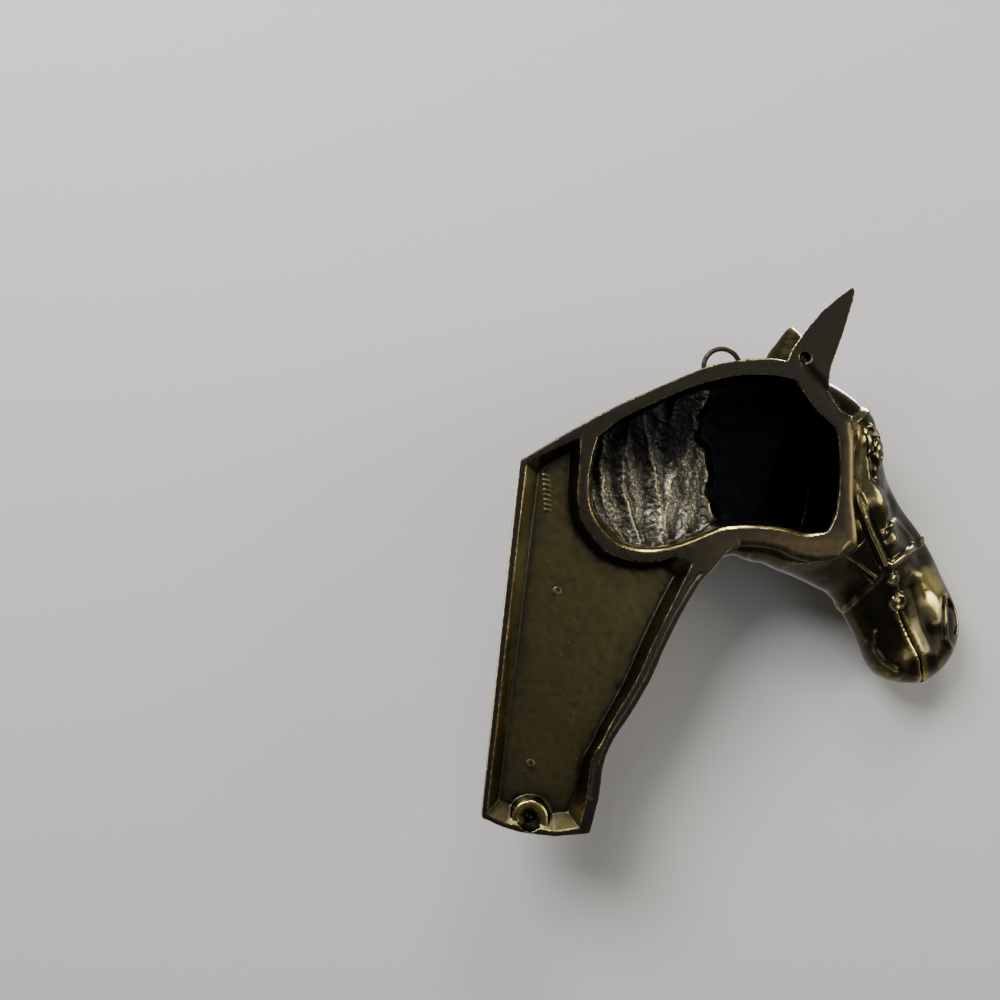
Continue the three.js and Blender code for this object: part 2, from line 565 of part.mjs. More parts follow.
// The hanging loop: round wire bent to a half circle, with two short legs.
function wireLoop(radius, leg) {
  const { x, y, z } = LOOP_CENTRE;
  const bend = Array.from({ length: 9 }, (_, i) => {
    const a = (i / 8) * Math.PI;
    return new THREE.Vector3(x + LOOP_RADIUS * Math.cos(a), y, z + LOOP_RADIUS * Math.sin(a));
  });
  const path = new THREE.CatmullRomCurve3([
    new THREE.Vector3(x + LOOP_RADIUS, y, z - leg), ...bend, new THREE.Vector3(x - LOOP_RADIUS, y, z - leg),
  ], false, "centripetal");
  const section = new THREE.Shape().absarc(0, 0, radius, 0, 2 * Math.PI);
  return new THREE.ExtrudeGeometry(section, { steps: 18, curveSegments: 5, extrudePath: path });
}

const brass = new THREE.MeshStandardMaterial({ color: 0x5d4f2c, roughness: 0.42, metalness: 1 });
const darkWire = new THREE.MeshStandardMaterial({ color: 0x3b332a, roughness: 0.45, metalness: 1 });

function mesh(name, geometry, material) {
  const made = new THREE.Mesh(geometry, material);
  made.name = name;
  return made;
}

const plaque = new THREE.Group();
plaque.name = "horse_relief_plaque";
plaque.add(mesh("plaque_casting", geometryOf(casting()), brass));
plaque.add(mesh("hanging_loop", wireLoop(LOOP_WIRE, LOOP_LEG), darkWire));

export default plaque;
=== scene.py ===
import math

import bmesh
import bpy
import numpy as np
from mathutils import Matrix, Vector, noise


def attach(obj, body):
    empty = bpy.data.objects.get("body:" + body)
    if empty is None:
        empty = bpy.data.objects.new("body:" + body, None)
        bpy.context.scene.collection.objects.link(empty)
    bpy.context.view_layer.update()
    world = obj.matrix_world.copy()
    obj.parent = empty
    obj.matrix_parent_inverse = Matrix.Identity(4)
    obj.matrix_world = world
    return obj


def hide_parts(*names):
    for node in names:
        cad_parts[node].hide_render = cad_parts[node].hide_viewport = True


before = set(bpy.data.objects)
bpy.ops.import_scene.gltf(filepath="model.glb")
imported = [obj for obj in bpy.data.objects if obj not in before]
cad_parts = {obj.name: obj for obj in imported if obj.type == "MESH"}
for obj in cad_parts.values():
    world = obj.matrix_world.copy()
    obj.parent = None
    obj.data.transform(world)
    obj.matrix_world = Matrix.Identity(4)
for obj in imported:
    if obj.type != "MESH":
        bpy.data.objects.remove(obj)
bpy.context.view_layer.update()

# The plaque casting: a bridled horse's head and cut-off neck in relief, cast in one piece of brass with a
# hollow back, given a dark antique finish and rubbed back on its high places. It hangs flat on the wall
# plane, y = 0, its relief towards -Y. Lengths are millimetres until the mesh is finished.

# The head and neck are a skin over slices from the neck to the lips: a point on the crest and nose line,
# one on the throat and jaw line, half the width, the midline's distance from the wall, and the fullness
# near the top and the bottom. The head is turned out from the wall at the line from throat to poll.
WALL_CLEARANCE = 1.4
TURN = math.radians(18)
TURN_RUN = 30
THROAT = np.array([-2.3, -80.7])
POLL = np.array([-35.1, 4.1])
SIDE_SQUARENESS = 0.78
SLICES = np.array([
    [150, -235, 66, -234, 7, 8, 0.6, 0.75],
    [150, -195, 55.6, -199, 7.5, 8, 0.6, 0.75],
    [147, -135, 46.8, -167, 8.5, 8, 0.6, 0.75],
    [130, -74, 31.8, -141.6, 10.5, 8, 0.6, 0.75],
    [100, -45, 21.8, -119.6, 13, 8, 0.6, 0.75],
    [66, -25, 10.9, -100.8, 16, 9, 0.6, 0.78],
    [31, -7.5, 3, -89, 19, 11, 0.64, 0.82],
    [3, 3.5, -6, -84.5, 21, 13, 0.68, 0.86],
    [-22, 5.5, -14, -87, 21, 14.5, 0.74, 0.88],
    [-42, 0.5, -22, -88.6, 21, 15, 0.8, 0.9],
    [-59, -7, -29.5, -92, 22.5, 15, 0.88, 0.9],
    [-71.5, -17.5, -37.5, -95, 23.5, 15, 0.9, 0.86],
    [-77.5, -33, -44.5, -98, 23.5, 15, 0.84, 0.8],
    [-84, -48, -51.5, -101.3, 22, 15, 0.76, 0.72],
    [-94.5, -62.6, -58.5, -105, 19.5, 15, 0.7, 0.66],
    [-105.8, -75, -65.5, -112, 17, 15, 0.68, 0.66],
    [-113.2, -85, -71, -120, 15.6, 15, 0.7, 0.7],
    [-119.6, -96, -76, -127.5, 15, 15, 0.74, 0.76],
    [-126.5, -108, -80.5, -135.5, 15.2, 15, 0.82, 0.84],
    [-130.5, -116.5, -85, -142.5, 15.6, 15, 0.86, 0.9],
    [-131.5, -124, -90.5, -148, 15, 15, 0.9, 0.95],
    [-129, -132, -97, -150.4, 13.6, 15, 0.95, 0.95],
    [-124, -139.5, -103, -151, 11, 15, 1, 1],
    [-118.5, -145.5, -108.5, -151, 7, 15, 1, 1],
    [-114.5, -149, -112.5, -150, 2.5, 15, 1, 1],
])
LAST = len(SLICES) - 1
CREST = [[-32, 5], [-3, 4.6], [28.7, -6.8], [65, -24.6], [92.6, -40.6], [110, -52]]


def spline(rows, at):
    """A smooth run through rows of values; at counts rows from 0."""
    rows = np.asarray(rows, float)
    last = len(rows) - 1
    at = np.clip(np.asarray(at, float), 0, last)
    i = np.minimum(np.floor(at).astype(int), last - 1)
    w = (at - i)[:, None]
    a, b = rows[np.maximum(i - 1, 0)], rows[i]
    c, d = rows[i + 1], rows[np.minimum(i + 2, last)]
    v0, v1 = (c - a) / 2, (d - b) / 2
    return (2 * b - 2 * c + v0 + v1) * w**3 + (-3 * b + 3 * c - 2 * v0 - v1) * w**2 + v0 * w + b


def ease(x, start, end):
    """0 before start, 1 after end, smooth between; start may be the larger."""
    s = np.clip((np.asarray(x, float) - start) / (end - start), 0, 1)
    return s * s * (3 - 2 * s)


def mound(p, x, z, radius, height):
    return height * np.exp(-((p[:, 0] - x) ** 2 + (p[:, 1] - z) ** 2) / radius**2)


def away_from(p, line):
    """Distance of each point from a line of straight stretches."""
    least = np.full(len(p), 1e9)
    for a, b in zip(np.array(line[:-1], float), np.array(line[1:], float)):
        share = np.clip(((p - a) @ (b - a)) / ((b - a) @ (b - a)), 0, 1)
        least = np.minimum(least, np.linalg.norm(p - a - share[:, None] * (b - a), axis=1))
    return least


def ridge(p, line, width, height):
    return height * np.exp(-((away_from(p, line) / width) ** 2))


def relief(p, station):
    """What the modeller raised or sank on the sides of the head and neck."""
    # The round cheek.
    off = np.hypot(p[:, 0] + 33, p[:, 1] + 62)
    h = 3 * ease(off, 32, 20)
    # The bulge of the eye, the brow, the hollow above it and the fold below.
    h += mound(p, -65, -29, 9.5, 2.4)
    h += ridge(p, [[-72, -20.5], [-65, -20], [-58.5, -24], [-57, -31]], 3.2, 1.8)
    h += mound(p, -54, -13, 6, -2.2)
    h += ridge(p, [[-73.5, -36], [-68, -39], [-60.5, -36.5]], 2.6, 1.2)
    # The facial crest and the hollows on each side of it.
    h += ridge(p, [[-64, -48], [-72, -62], [-80, -76]], 4.5, 2.2)
    h += ridge(p, [[-82, -55], [-101, -84]], 5.5, -1.8)
    h += ridge(p, [[-58, -90], [-75, -116]], 6, -1.4)
    # The nose, the lips and the chin.
    h += mound(p, -117, -116, 9, 2.4)
    h += mound(p, -114, -134, 9, 1.4)
    h += mound(p, -92, -138, 8, 1.8)
    # The neck muscle, the groove over the windpipe, and the crest under the mane.
    h += ridge(p, [[8, -32], [40, -52], [80, -90]], 15, 2.4)
    h += ridge(p, [[2, -78], [26, -104], [56, -150], [70, -195]], 7, -2)
    h += np.where(station < 8.6, 1.2 * ease(away_from(p, CREST), 24, 17), 0)
    return h


def turn_head(profile, lateral, depth):
    """Swings what lies ahead of the line from throat to poll out from the wall."""
    up = (POLL - THROAT) / np.linalg.norm(POLL - THROAT)
    forward = np.array([-up[1], up[0]])
    high, ahead = (profile - THROAT) @ up, (profile - THROAT) @ forward
    angle = np.clip(ahead / TURN_RUN, 0, 1) * TURN
    past = np.maximum(ahead - TURN_RUN, 0)
    radius = TURN_RUN / TURN
    reach = np.where(ahead < 0, ahead, radius * np.sin(angle) + past * math.cos(TURN))
    reach = reach + lateral * np.sin(angle)
    out = radius * (1 - np.cos(angle)) + past * math.sin(TURN)
    flat = THROAT + high[:, None] * up + reach[:, None] * forward
    return np.stack([flat[:, 0], lateral * np.cos(angle) - out - depth, flat[:, 1]], axis=1)


def surface(station, angle, lift=0.0, wall_side=None):
    """Points of the horse's surface. Angle 0 is the crest or nose line, a quarter turn on is the front of
    the relief, half a turn is the throat or jaw line, and three quarters is the side next to the wall."""
    station, angle = np.broadcast_arrays(np.asarray(station, float), np.asarray(angle, float))
    row = spline(SLICES, station)
    top, bottom = row[:, 0:2], row[:, 2:4]
    half, off, top_full, bottom_full = row[:, 4:].T
    height, side = np.cos(angle), np.sin(angle)
    full = np.where(height > 0, top_full, bottom_full)
    shape = np.abs(side) ** SIDE_SQUARENESS * (1 + (full - 1) * np.abs(height) ** 1.6)
    profile = (top + bottom) / 2 + (top - bottom) / 2 * height[:, None]
    if wall_side is None:
        lift = lift + relief(profile, station) * np.abs(side) ** 0.6
    else:
        half = np.where(side < 0, wall_side, half)
    across = (top - bottom) / np.linalg.norm(top - bottom, axis=1, keepdims=True)
    profile = profile + across * (height * lift)[:, None]
    p = turn_head(profile, -np.sign(side) * (half * shape + np.abs(side) * lift), off)
    if wall_side is None:
        p[:, 1] = -WALL_CLEARANCE - 2 * np.logaddexp(0, -(p[:, 1] + WALL_CLEARANCE) / 2)
    return p


def skin(rows, columns, place):
    """A closed form made from a sphere: rows run along it from 0 to 1, columns go round it by angle."""
    bm = bmesh.new()
    bmesh.ops.create_uvsphere(bm, u_segments=columns, v_segments=rows, radius=1)
    xyz = np.array([v.co for v in bm.verts])
    row = np.rint(np.arccos(np.clip(xyz[:, 2], -1, 1)) / math.pi * rows)
    column = np.rint(np.arctan2(xyz[:, 1], xyz[:, 0]) / (2 * math.pi) * columns) % columns
    angle = column / columns * 2 * math.pi
    pole = (row == 0) | (row == rows)
    spots = place(np.clip((row - 1) / (rows - 2), 0, 1), angle, pole)
    for v, spot in zip(bm.verts, spots):
        v.co = spot
    if bm.calc_volume(signed=True) < 0:
        bmesh.ops.reverse_faces(bm, faces=bm.faces)
    return bm


def outline(start, *parts):
    """A closed outline: straight where it is given one point at a time, smooth through a nested list."""
    points = [np.array(start, float)]
    for part in parts:
        if isinstance(part[0], (list, tuple)):
            stops = np.array([points[-1], *part], float)
            points += list(spline(stops, np.linspace(0, len(stops) - 1, 4 * (len(stops) - 1) + 1))[1:])
        else:
            points.append(np.array(part, float))
    if np.linalg.norm(points[0] - points[-1]) < 0.01:
        points.pop()
    points = np.array(points)
    ahead = np.roll(points, -1, axis=0)
    if np.sum(points[:, 0] * ahead[:, 1] - ahead[:, 0] * points[:, 1]) < 0:
        points = points[::-1]
    return points


def inset(points, amount):
    """Moves an outline's points inwards; amount takes the edge's outward directions."""
    along = np.roll(points, -1, axis=0) - np.roll(points, 1, axis=0)
    along /= np.linalg.norm(along, axis=1, keepdims=True)
    outward = np.stack([along[:, 1], -along[:, 0]], axis=1)
    return points - outward * np.reshape(amount(outward), (-1, 1))


def stack(*levels):
    """A closed solid through outlines of equal length, each at its own depth."""
    bm = bmesh.new()
    ring = bmesh.ops.create_circle(bm, segments=len(levels[0][0]), radius=1)["verts"]
    edges = bm.edges[:]
    for number, (points, y) in enumerate(levels):
        if number:
            made = bmesh.ops.extrude_edge_only(bm, edges=edges)["geom"]
            new = {v for v in made if isinstance(v, bmesh.types.BMVert)}
            edges = [e for e in made if isinstance(e, bmesh.types.BMEdge)]
            edges = [e for e in edges if e.verts[0] in new and e.verts[1] in new]
            ring = [next(e.other_vert(v) for e in v.link_edges if e.other_vert(v) in new) for v in ring]
        for v, (x, z) in zip(ring, points):
            v.co = (x, y, z)
    caps = bmesh.ops.holes_fill(bm, edges=[e for e in bm.edges if e.is_boundary])["faces"]
    bmesh.ops.triangulate(bm, faces=caps)
    bmesh.ops.recalc_face_normals(bm, faces=bm.faces)
    if bm.calc_volume(signed=True) < 0:
        bmesh.ops.reverse_faces(bm, faces=bm.faces)
    return bm


def to_object(name, *forms):
    """One object from closed bmesh forms, which may overlap."""
    data = bpy.data.meshes.new(name)
    whole = bmesh.new()
    for form in forms:
        form.to_mesh(data)
        form.free()
        whole.from_mesh(data)
    whole.to_mesh(data)
    whole.free()
    made = bpy.data.objects.new(name, data)
    bpy.context.scene.collection.objects.link(made)
    return made


def apply_all(piece):
    """Turns what the modifiers show into the piece's own mesh."""
    graph = bpy.context.evaluated_depsgraph_get()
    fresh = bpy.data.meshes.new_from_object(piece.evaluated_get(graph))
    piece.modifiers.clear()
    old = piece.data
    piece.data = fresh
    bpy.data.meshes.remove(old)


def carve(piece, tool, how="DIFFERENCE"):
    cut = piece.modifiers.new("carve", "BOOLEAN")
    cut.operation, cut.solver, cut.object = how, "MANIFOLD", tool
    apply_all(piece)
    bpy.data.objects.remove(tool)


def remesh(piece, size):
    again = piece.modifiers.new("remesh", "REMESH")
    again.mode, again.voxel_size = "VOXEL", size
    apply_all(piece)


def route(stops, u):
    """Points along a line through stops, u from 0 to 1, evenly eased between near and far stops."""
    stops = np.asarray(stops, float)
    last = len(stops) - 1
    padded = np.vstack([2 * stops[0] - stops[1], stops, 2 * stops[-1] - stops[-2]])
    at = np.clip(u, 0, 1) * last
    i = np.minimum(np.floor(at).astype(int), last - 1)
    w = (at - i)[:, None]
    a, b, c, d = (padded[i + k] for k in range(4))
    gaps = ((a, b), (b, c), (c, d))
    d0, d1, d2 = (np.sqrt(np.linalg.norm(q - p, axis=1, keepdims=True)) for p, q in gaps)
    v0 = ((b - a) / d0 - (c - a) / (d0 + d1) + (c - b) / d1) * d1
    v1 = ((c - b) / d1 - (d - b) / (d1 + d2) + (d - c) / d2) * d1
    return (2 * b - 2 * c + v0 + v1) * w**3 + (-3 * b + 3 * c - 2 * v0 - v1) * w**2 + v0 * w + b


def out_of(station, angle):
    """Which way is out of the horse's surface."""
    e = 0.01
    station, angle = np.asarray(station, float), np.asarray(angle, float)
    along = surface(station + 0.06, angle) - surface(station - 0.06, angle)
    across = surface(station, angle + e) - surface(station, angle - e)
    out = np.cross(along, across)
    return out / np.linalg.norm(out, axis=1, keepdims=True)


def flat_band(c, s):
    """A strap's section: a flat band with a raised bead along each edge."""
    w = np.sign(c) * np.abs(c) ** 0.4
    bead = 0.22 * np.exp(-(((np.abs(w) - 0.8) / 0.16) ** 2))
    return w, np.where(s > 0, np.abs(s) ** 0.45 * (0.85 + bead), -1.6 * np.abs(s) ** 0.5)


def groove(c, s):
    """A rounded groove's section, narrow inside and wide outside."""
    w = np.sign(c) * np.abs(c) ** 0.7
    return w * np.where(s > 0, 1, 1 - 0.75 * np.abs(s)), np.where(s > 0, s, -1.6 * np.abs(s) ** 0.7)


def strap(stops, width=3.2, height=1.1, rows=60, columns=20, section=flat_band, taper=1.0):
    """A band laid on the surface, along stops given as slice number and angle in degrees."""
    def place(along, angle, pole):
        spot = lambda u: route(stops, u) * [1, math.pi / 180]
        here = spot(along)
        ahead, behind = spot(np.minimum(along + 0.004, 1)), spot(np.maximum(along - 0.004, 0))
        centre = surface(*here.T)
        out = out_of(*here.T)
        run = surface(*ahead.T) - surface(*behind.T)
        across = np.cross(out, run)
        across /= np.linalg.norm(across, axis=1, keepdims=True)
        w, h = section(np.where(pole, 0, np.cos(angle)), np.where(pole, 0, np.sin(angle)))
        narrowed = 1 + (taper - 1) * along
        sideways = across * (w * width * narrowed / 2)[:, None]
        return centre + sideways + out * (h * height * narrowed)[:, None]
    return skin(rows, columns, place)


def ring(station, degrees, radius=3.4, wire=0.9):
    """A round wire ring lying on the surface."""
    seat, out = surface([station], math.radians(degrees))[0], out_of([station], math.radians(degrees))[0]
    one = np.cross(out, [0, 0, 1])
    one /= np.linalg.norm(one)
    two = np.cross(out, one)
    def place(along, angle, pole):
        turn = along * 2.02 * math.pi
        spoke = np.cos(turn)[:, None] * one + np.sin(turn)[:, None] * two
        small = np.where(pole, 0, wire)
        return seat + out * 0.5 + spoke * (radius + small * np.cos(angle))[:, None] \
            + out * (small * np.sin(angle))[:, None]
    return skin(34, 12, place)


def mirrored(stops):
    return [[station, -degrees] for station, degrees in stops]


# The bridle is cast in one with the head: flat straps with beaded edges, and two rings on each side at the
# bit. Stops along a strap are a slice's number and degrees round it.
NOSEBAND = [[15.3, 0], [15.1, 40], [14.6, 74], [14.4, 100], [14.6, 130], [14.8, 152], [15.1, 180]]
NOSEBAND_ALL = NOSEBAND + [[station, 360 - degrees] for station, degrees in NOSEBAND[-2::-1]]
CHEEKPIECE = [[9.4, 40], [9.9, 62], [10.6, 82], [12, 90], [13.2, 92], [14.3, 96], [16, 104]]
THROATLATCH = [[9.1, 44], [8.7, 80], [8.5, 115], [8.5, 150], [8.6, 176]]
BROWBAND = [[9.9, 54], [10.6, 28], [10.95, 0], [10.6, -28], [9.9, -54]]
HEADPIECE = [[9.4, 44], [8.9, 26], [8.2, 4]]
BIT_RING, SMALL_RING, SMALL_RING_RADIUS = (16, 104), (14.9, 98), 2.04


def bridle():
    rings = [ring(BIT_RING[0], side * BIT_RING[1]) for side in (1, -1)]
    rings += [ring(SMALL_RING[0], side * SMALL_RING[1], SMALL_RING_RADIUS) for side in (1, -1)]
    return [
        strap(NOSEBAND_ALL, rows=140), strap(CHEEKPIECE), strap(mirrored(CHEEKPIECE)), strap(THROATLATCH),
        strap(BROWBAND), strap(HEADPIECE, rows=30), *rings,
    ]


# The mane is combed over to the front of the neck in two layers of locks that start at the crest and thin
# out to their tips. Each lock has strands along it.
MANE_STATIONS = [8.45, 7.95, 7.5, 7.07, 6.68, 6.32, 5.98, 5.65, 5.33, 5.02, 4.72, 4.42]


def hair(c, s):
    """A lock's section: rounded, with strands combed along it."""
    w = np.sign(c) * np.abs(c) ** 0.8
    strands = 1 - 0.3 * np.abs(np.sin(w * 7))
    return w, np.where(s > 0, np.abs(s) ** 0.6 * strands, -1.6 * np.abs(s) ** 0.6)


def mane():
    locks = []
    for i, station in enumerate(MANE_STATIONS):
        reach, sway = 1 + 0.16 * math.sin(i * 2.4), 0.07 * math.sin(i * 1.7)
        under = [[station, 5], [station - 0.02 + sway, 5 + 19 * reach],
                 [station - 0.26 - sway, 5 + 35 * reach], [station - 0.36, 5 + 50 * reach],
                 [station - 0.7, 5 + 62 * reach]]
        over = [[station - 0.2, 6], [station - 0.16 - sway, 6 + 15 * reach],
                [station - 0.4, 6 + 30 * reach], [station - 0.62, 6 + 40 * reach]]
        locks.append(strap(under, 13, 2.1, rows=60, columns=72, section=hair, taper=0.2))
        locks.append(strap(over, 7, 2.9, rows=50, columns=48, section=hair, taper=0.15))
    return locks


# Each ear is a leaf between its two edges, cast on the poll. The near one has a flat back in the wall
# plane, the far one stands further out and shows its cupped front.
def ear(left, right, thick, depth, cup):
    def place(along, angle, pole):
        a = spline(left, along * (len(left) - 1))
        b = spline(right, along * (len(right) - 1))
        across = np.where(pole, 0, np.cos(angle))
        flat = (a + b) / 2 + (a - b) / 2 * across[:, None]
        at = along * (len(thick) - 1)
        face = np.where(pole, 0, np.sin(angle)) * spline(np.array(thick)[:, None], at)[:, 0]
        hollowed = cup * (1 - across**2) * ease(along, 1, 0.75) * ease(along, 0, 0.3) * (face > 0)
        depth_here = spline(np.array(depth)[:, None], at)[:, 0]
        return np.stack([flat[:, 0], -depth_here - face + hollowed, flat[:, 1]], axis=1)
    return skin(60, 40, place)


NEAR_EAR = {
    "left": [[-28, -2], [-30.6, 7.8], [-35, 15], [-40, 21.6],
             [-45.5, 27.6], [-51.5, 33], [-56.5, 36.6], [-59.6, 38.6]],
    "right": [[-48.8, -8], [-49.2, 0], [-51.2, 6.2], [-53.6, 12.8],
              [-56, 20], [-58.2, 27.5], [-59.9, 33.5], [-60, 38]],
    "thick": [10, 8, 6, 5, 4.4, 3.6, 2.6, 0.8],
    "depth": [2, 1, 0, 0, 0, 0, 0, 0],
    "cup": 2.2,
}
FAR_EAR = {
    "left": [[-24, -2], [-25, 7], [-28, 12.5], [-32, 17], [-35.5, 21.4], [-38.6, 24.8], [-40.9, 26.2]],
    "right": [[-47, -10], [-49, -1], [-50, 6], [-49.6, 12.5], [-47.4, 18.5], [-44.4, 23], [-41.6, 26]],
    "thick": [6, 5.6, 5.2, 4.6, 3.6, 2.4, 0.8],
    "depth": [20, 25, 29, 32, 34.5, 36.5, 38],
    "cup": 4.2,
}

# Each eye is a ball in its socket with a raised lid all round it.
EYE_STATION, EYE_DEGREES, EYE_RADIUS, EYE_SUNK = 11.15, 48, 5.4, 3.6
LID_ALONG, LID_ROUND, LID_WIDTH, LID_HEIGHT = 0.56, 8.5, 2.6, 1.2


def round_bead(c, s):
    return c, np.where(s > 0, s, 1.6 * s)


def eye(side):
    seat = surface([EYE_STATION], side * math.radians(EYE_DEGREES), -EYE_SUNK)[0]
    ball = bmesh.new()
    bmesh.ops.create_icosphere(ball, subdivisions=4, radius=EYE_RADIUS)
    bmesh.ops.translate(ball, vec=seat, verts=ball.verts)
    turn = [i * math.pi / 6 for i in range(13)]
    rim = [[EYE_STATION + LID_ALONG * math.cos(a), side * (EYE_DEGREES + LID_ROUND * math.sin(a))]
           for a in turn]
    return [ball, strap(rim, LID_WIDTH, LID_HEIGHT, rows=60, columns=16, section=round_bead)]


# The mouth is a groove from the bit to the front of the lips, and each nostril a bent hollow.
MOUTH = [[16.3, 106], [17, 108], [18, 108], [19.1, 108], [20.1, 112], [21.2, 118], [22.2, 126]]
NOSTRIL = [[17.7, 47], [18.3, 41], [19, 44], [19.5, 55]]


def face_cuts():
    mouths = [strap(line, 2.6, 1.3, section=groove) for line in (MOUTH, mirrored(MOUTH))]
    nostrils = [strap(line, 6.4, 2.6, section=groove, taper=0.6) for line in (NOSTRIL, mirrored(NOSTRIL))]
    return mouths + nostrils


# The back is a flat rim all round in the wall plane, with the deep hollow of the head and neck behind a
# rounded lip, and a shallow tray below it. The seat is the flat band that runs round the hollow at the
# head. Outlines are x and z in the wall plane.
PLATE_DEPTH = 8
COLLAR_DEPTH, COLLAR_DRAFT = 15, 2
TRAY_DEPTH = 7
BAND_RIGHT = [[-44.2, -4.1], [-53.4, -16.9], [-59, -23], [-60.3, -33],
              [-60.3, -58.8], [-61.5, -70], [-62.3, -80.5]]
BAND_LOWER = [[-53.4, -86], [-43, -87.3], [-32.8, -85.3], [-26, -82.1], [-16.9, -80.3], [-7.8, -79.8]]
THROAT_LINE = [[4.5, -90.5], [9.1, -95.3], [12.8, -100.8], [19.6, -112.6], [26.4, -126.3], [32.4, -140],
               [40.1, -153.7], [49.2, -167.4], [54.3, -179.7], [56.5, -195.6], [60.6, -211.1]]
CUT_FOOT = [110.4, -203.8]
KEEP_DEPTH = 120
footprint = outline(
    [92.6, -40.6],
    [[65, -24.6], [47, -15], [28.7, -6.8], [10.5, 0.9], [-3.2, 4.6], [-21.4, 5.9], [-32, 4]],
    BAND_RIGHT, [*BAND_LOWER, [-2.5, -82]], THROAT_LINE,
    [[76.6, -212.5], [92.6, -210.6], [101, -208], CUT_FOOT])
collar_foot = outline([-32, 2], BAND_RIGHT, [*BAND_LOWER, [-2.5, -80]], [12, -60], [0, -12])
hollow_mouth = outline(
    [57.5, -29.5],
    [[47, -21.5], [37.8, -16.4], [28, -12], [19.6, -8.4], [10, -5.3], [1.4, -3], [-8, -1.4], [-17, -0.6],
     [-31.5, -0.6]],
    [[-38, -10], [-44, -18], [-50.5, -24], [-53.3, -30], [-54, -40], [-53.8, -54], [-52.6, -65]],
    [[-48.5, -73.6], [-43.5, -76.4], [-36, -77], [-28, -74.8], [-19, -73.6], [-9, -73.3], [0, -74],
     [6, -76], [12, -78.5]],
    [[20, -81.5], [28, -83.5], [36, -84.2], [43.5, -83], [50.6, -79.8], [57, -73.4], [61.2, -66],
     [62.8, -57], [62.4, -48]],
    [60.5, -38])
tray_rim = outline(
    [89.8, -42], [107.9, -202.4], [99, -206.4], [76.8, -210.2], [65.4, -208.6],
    [[62, -195.6], [59.7, -177.4], [54.7, -168.3], [50.6, -160], [39.2, -140.9], [31, -122.7],
     [21.9, -104.4], [13.5, -87]],
    [[20, -84.4], [28, -86.2], [36, -87], [44.6, -85.6], [52.6, -82.2], [59.5, -75.2], [64.5, -66.6],
     [66, -56.5], [65.4, -46]],
    [64.6, -29.4], [84, -38.8])
tray_floor = outline(
    [83.8, -46.6], [102.4, -197.6], [95, -200.6], [77, -203.6], [70.4, -203],
    [[66.6, -194], [64, -180], [59, -170.6], [55.4, -163], [44.6, -143.4], [36.6, -125], [28.4, -107.6],
     [21, -94]],
    [[26, -89.6], [32, -90.4], [37, -90.6], [46.4, -89], [55.6, -85], [63, -77.4], [68.4, -68],
     [70.2, -57], [69.8, -47]],
    [69.2, -36.4], [80.4, -42.6])
keep_line = outline([-14, 75], [-14, 6.2],
                    [[-3.2, 4.9], [10.5, 1.2], [28.7, -6.5], [47, -14.7], [65, -24.3], [93, -40.6]],
                    CUT_FOOT, [101, -208], [92.6, -210.6], [76.6, -212.5],
                    *THROAT_LINE[:0:-1], [4, -240], [-180, -240], [-180, 75])


def turned(profile, x, z, segments=48):
    """A solid turned round an axis that runs out from the wall: radius and depth, pair by pair."""
    around = np.linspace(0, 2 * math.pi, segments, endpoint=False)
    circle = np.stack([np.cos(around), np.sin(around)], axis=1)
    return stack(*((circle * radius + [x, z], y) for radius, y in profile))


NECK_SHARE, NECK_START, HEAD_START = 0.4, 0.6, 8


def body():
    """The whole head and neck, with closer rows on the head."""
    def place(along, angle, pole):
        neck = NECK_START + along / NECK_SHARE * (HEAD_START - NECK_START)
        head = HEAD_START + (along - NECK_SHARE) / (1 - NECK_SHARE) * (LAST - HEAD_START)
        station = np.where(along < NECK_SHARE, neck, head)
        spots = surface(station, angle)
        spots[pole] = (surface(station[pole], 0) + surface(station[pole], math.pi)) / 2
        return spots
    return skin(300, 200, place)


WALL_THICKNESS = 4.4
HOLLOW_START, HOLLOW_END, HOLLOW_WALL_SIDE = 3.6, 15, 45
HOLLOW_DEPTH, HOLLOW_DRAFT, STEP_EXTRA = 60, 2.4, 7
LIP_DEPTH, LIP_NARROW, LIP_WIDE = 3.5, 1.2, 4.4


def hollow_inside():
    """The hollow's own skin, one wall inside the horse's, with a step up to the shallow neck end."""
    def place(along, angle, pole):
        station = HOLLOW_START + (HOLLOW_END - HOLLOW_START) * along
        wave = 0.12 * np.sin(angle * 7) + 0.05 * np.sin(angle * 17)
        extra = STEP_EXTRA * ease(station + wave, 6.9, 6.6) * np.maximum(np.sin(angle), 0)
        point = lambda a: surface(station, a, -WALL_THICKNESS - extra, HOLLOW_WALL_SIDE)
        return np.where(pole[:, None], (point(0) + point(math.pi)) / 2, point(angle))
    return skin(120, 80, place)


def lip_width(outward):
    """The lip is rounded widest where it faces down and away from the muzzle."""
    share = np.maximum(0, 0.5 * outward[:, 0] - 0.86 * outward[:, 1])
    return LIP_NARROW + (LIP_WIDE - LIP_NARROW) * share


def hollow_mouth_form():
    """The mouth of the hollow, with its lip rounded over into straight walls with some draft."""
    def level(share, y):
        return inset(hollow_mouth, lambda outward: lip_width(outward) * share), y
    neck = level(1, 0)[0]
    rounded = [level(math.sin(a), LIP_DEPTH * (math.cos(a) - 1)) for a in np.linspace(0, math.pi / 2, 7)]
    floor = inset(neck, lambda outward: np.full(len(outward), HOLLOW_DRAFT))
    return stack((hollow_mouth, 2), *rounded, (floor, -HOLLOW_DEPTH))


def keep_block():
    """Everything outside this is above the crest or is what the neck was cut off from."""
    return to_object("keep", stack((keep_line, 0), (keep_line, -KEEP_DEPTH)))


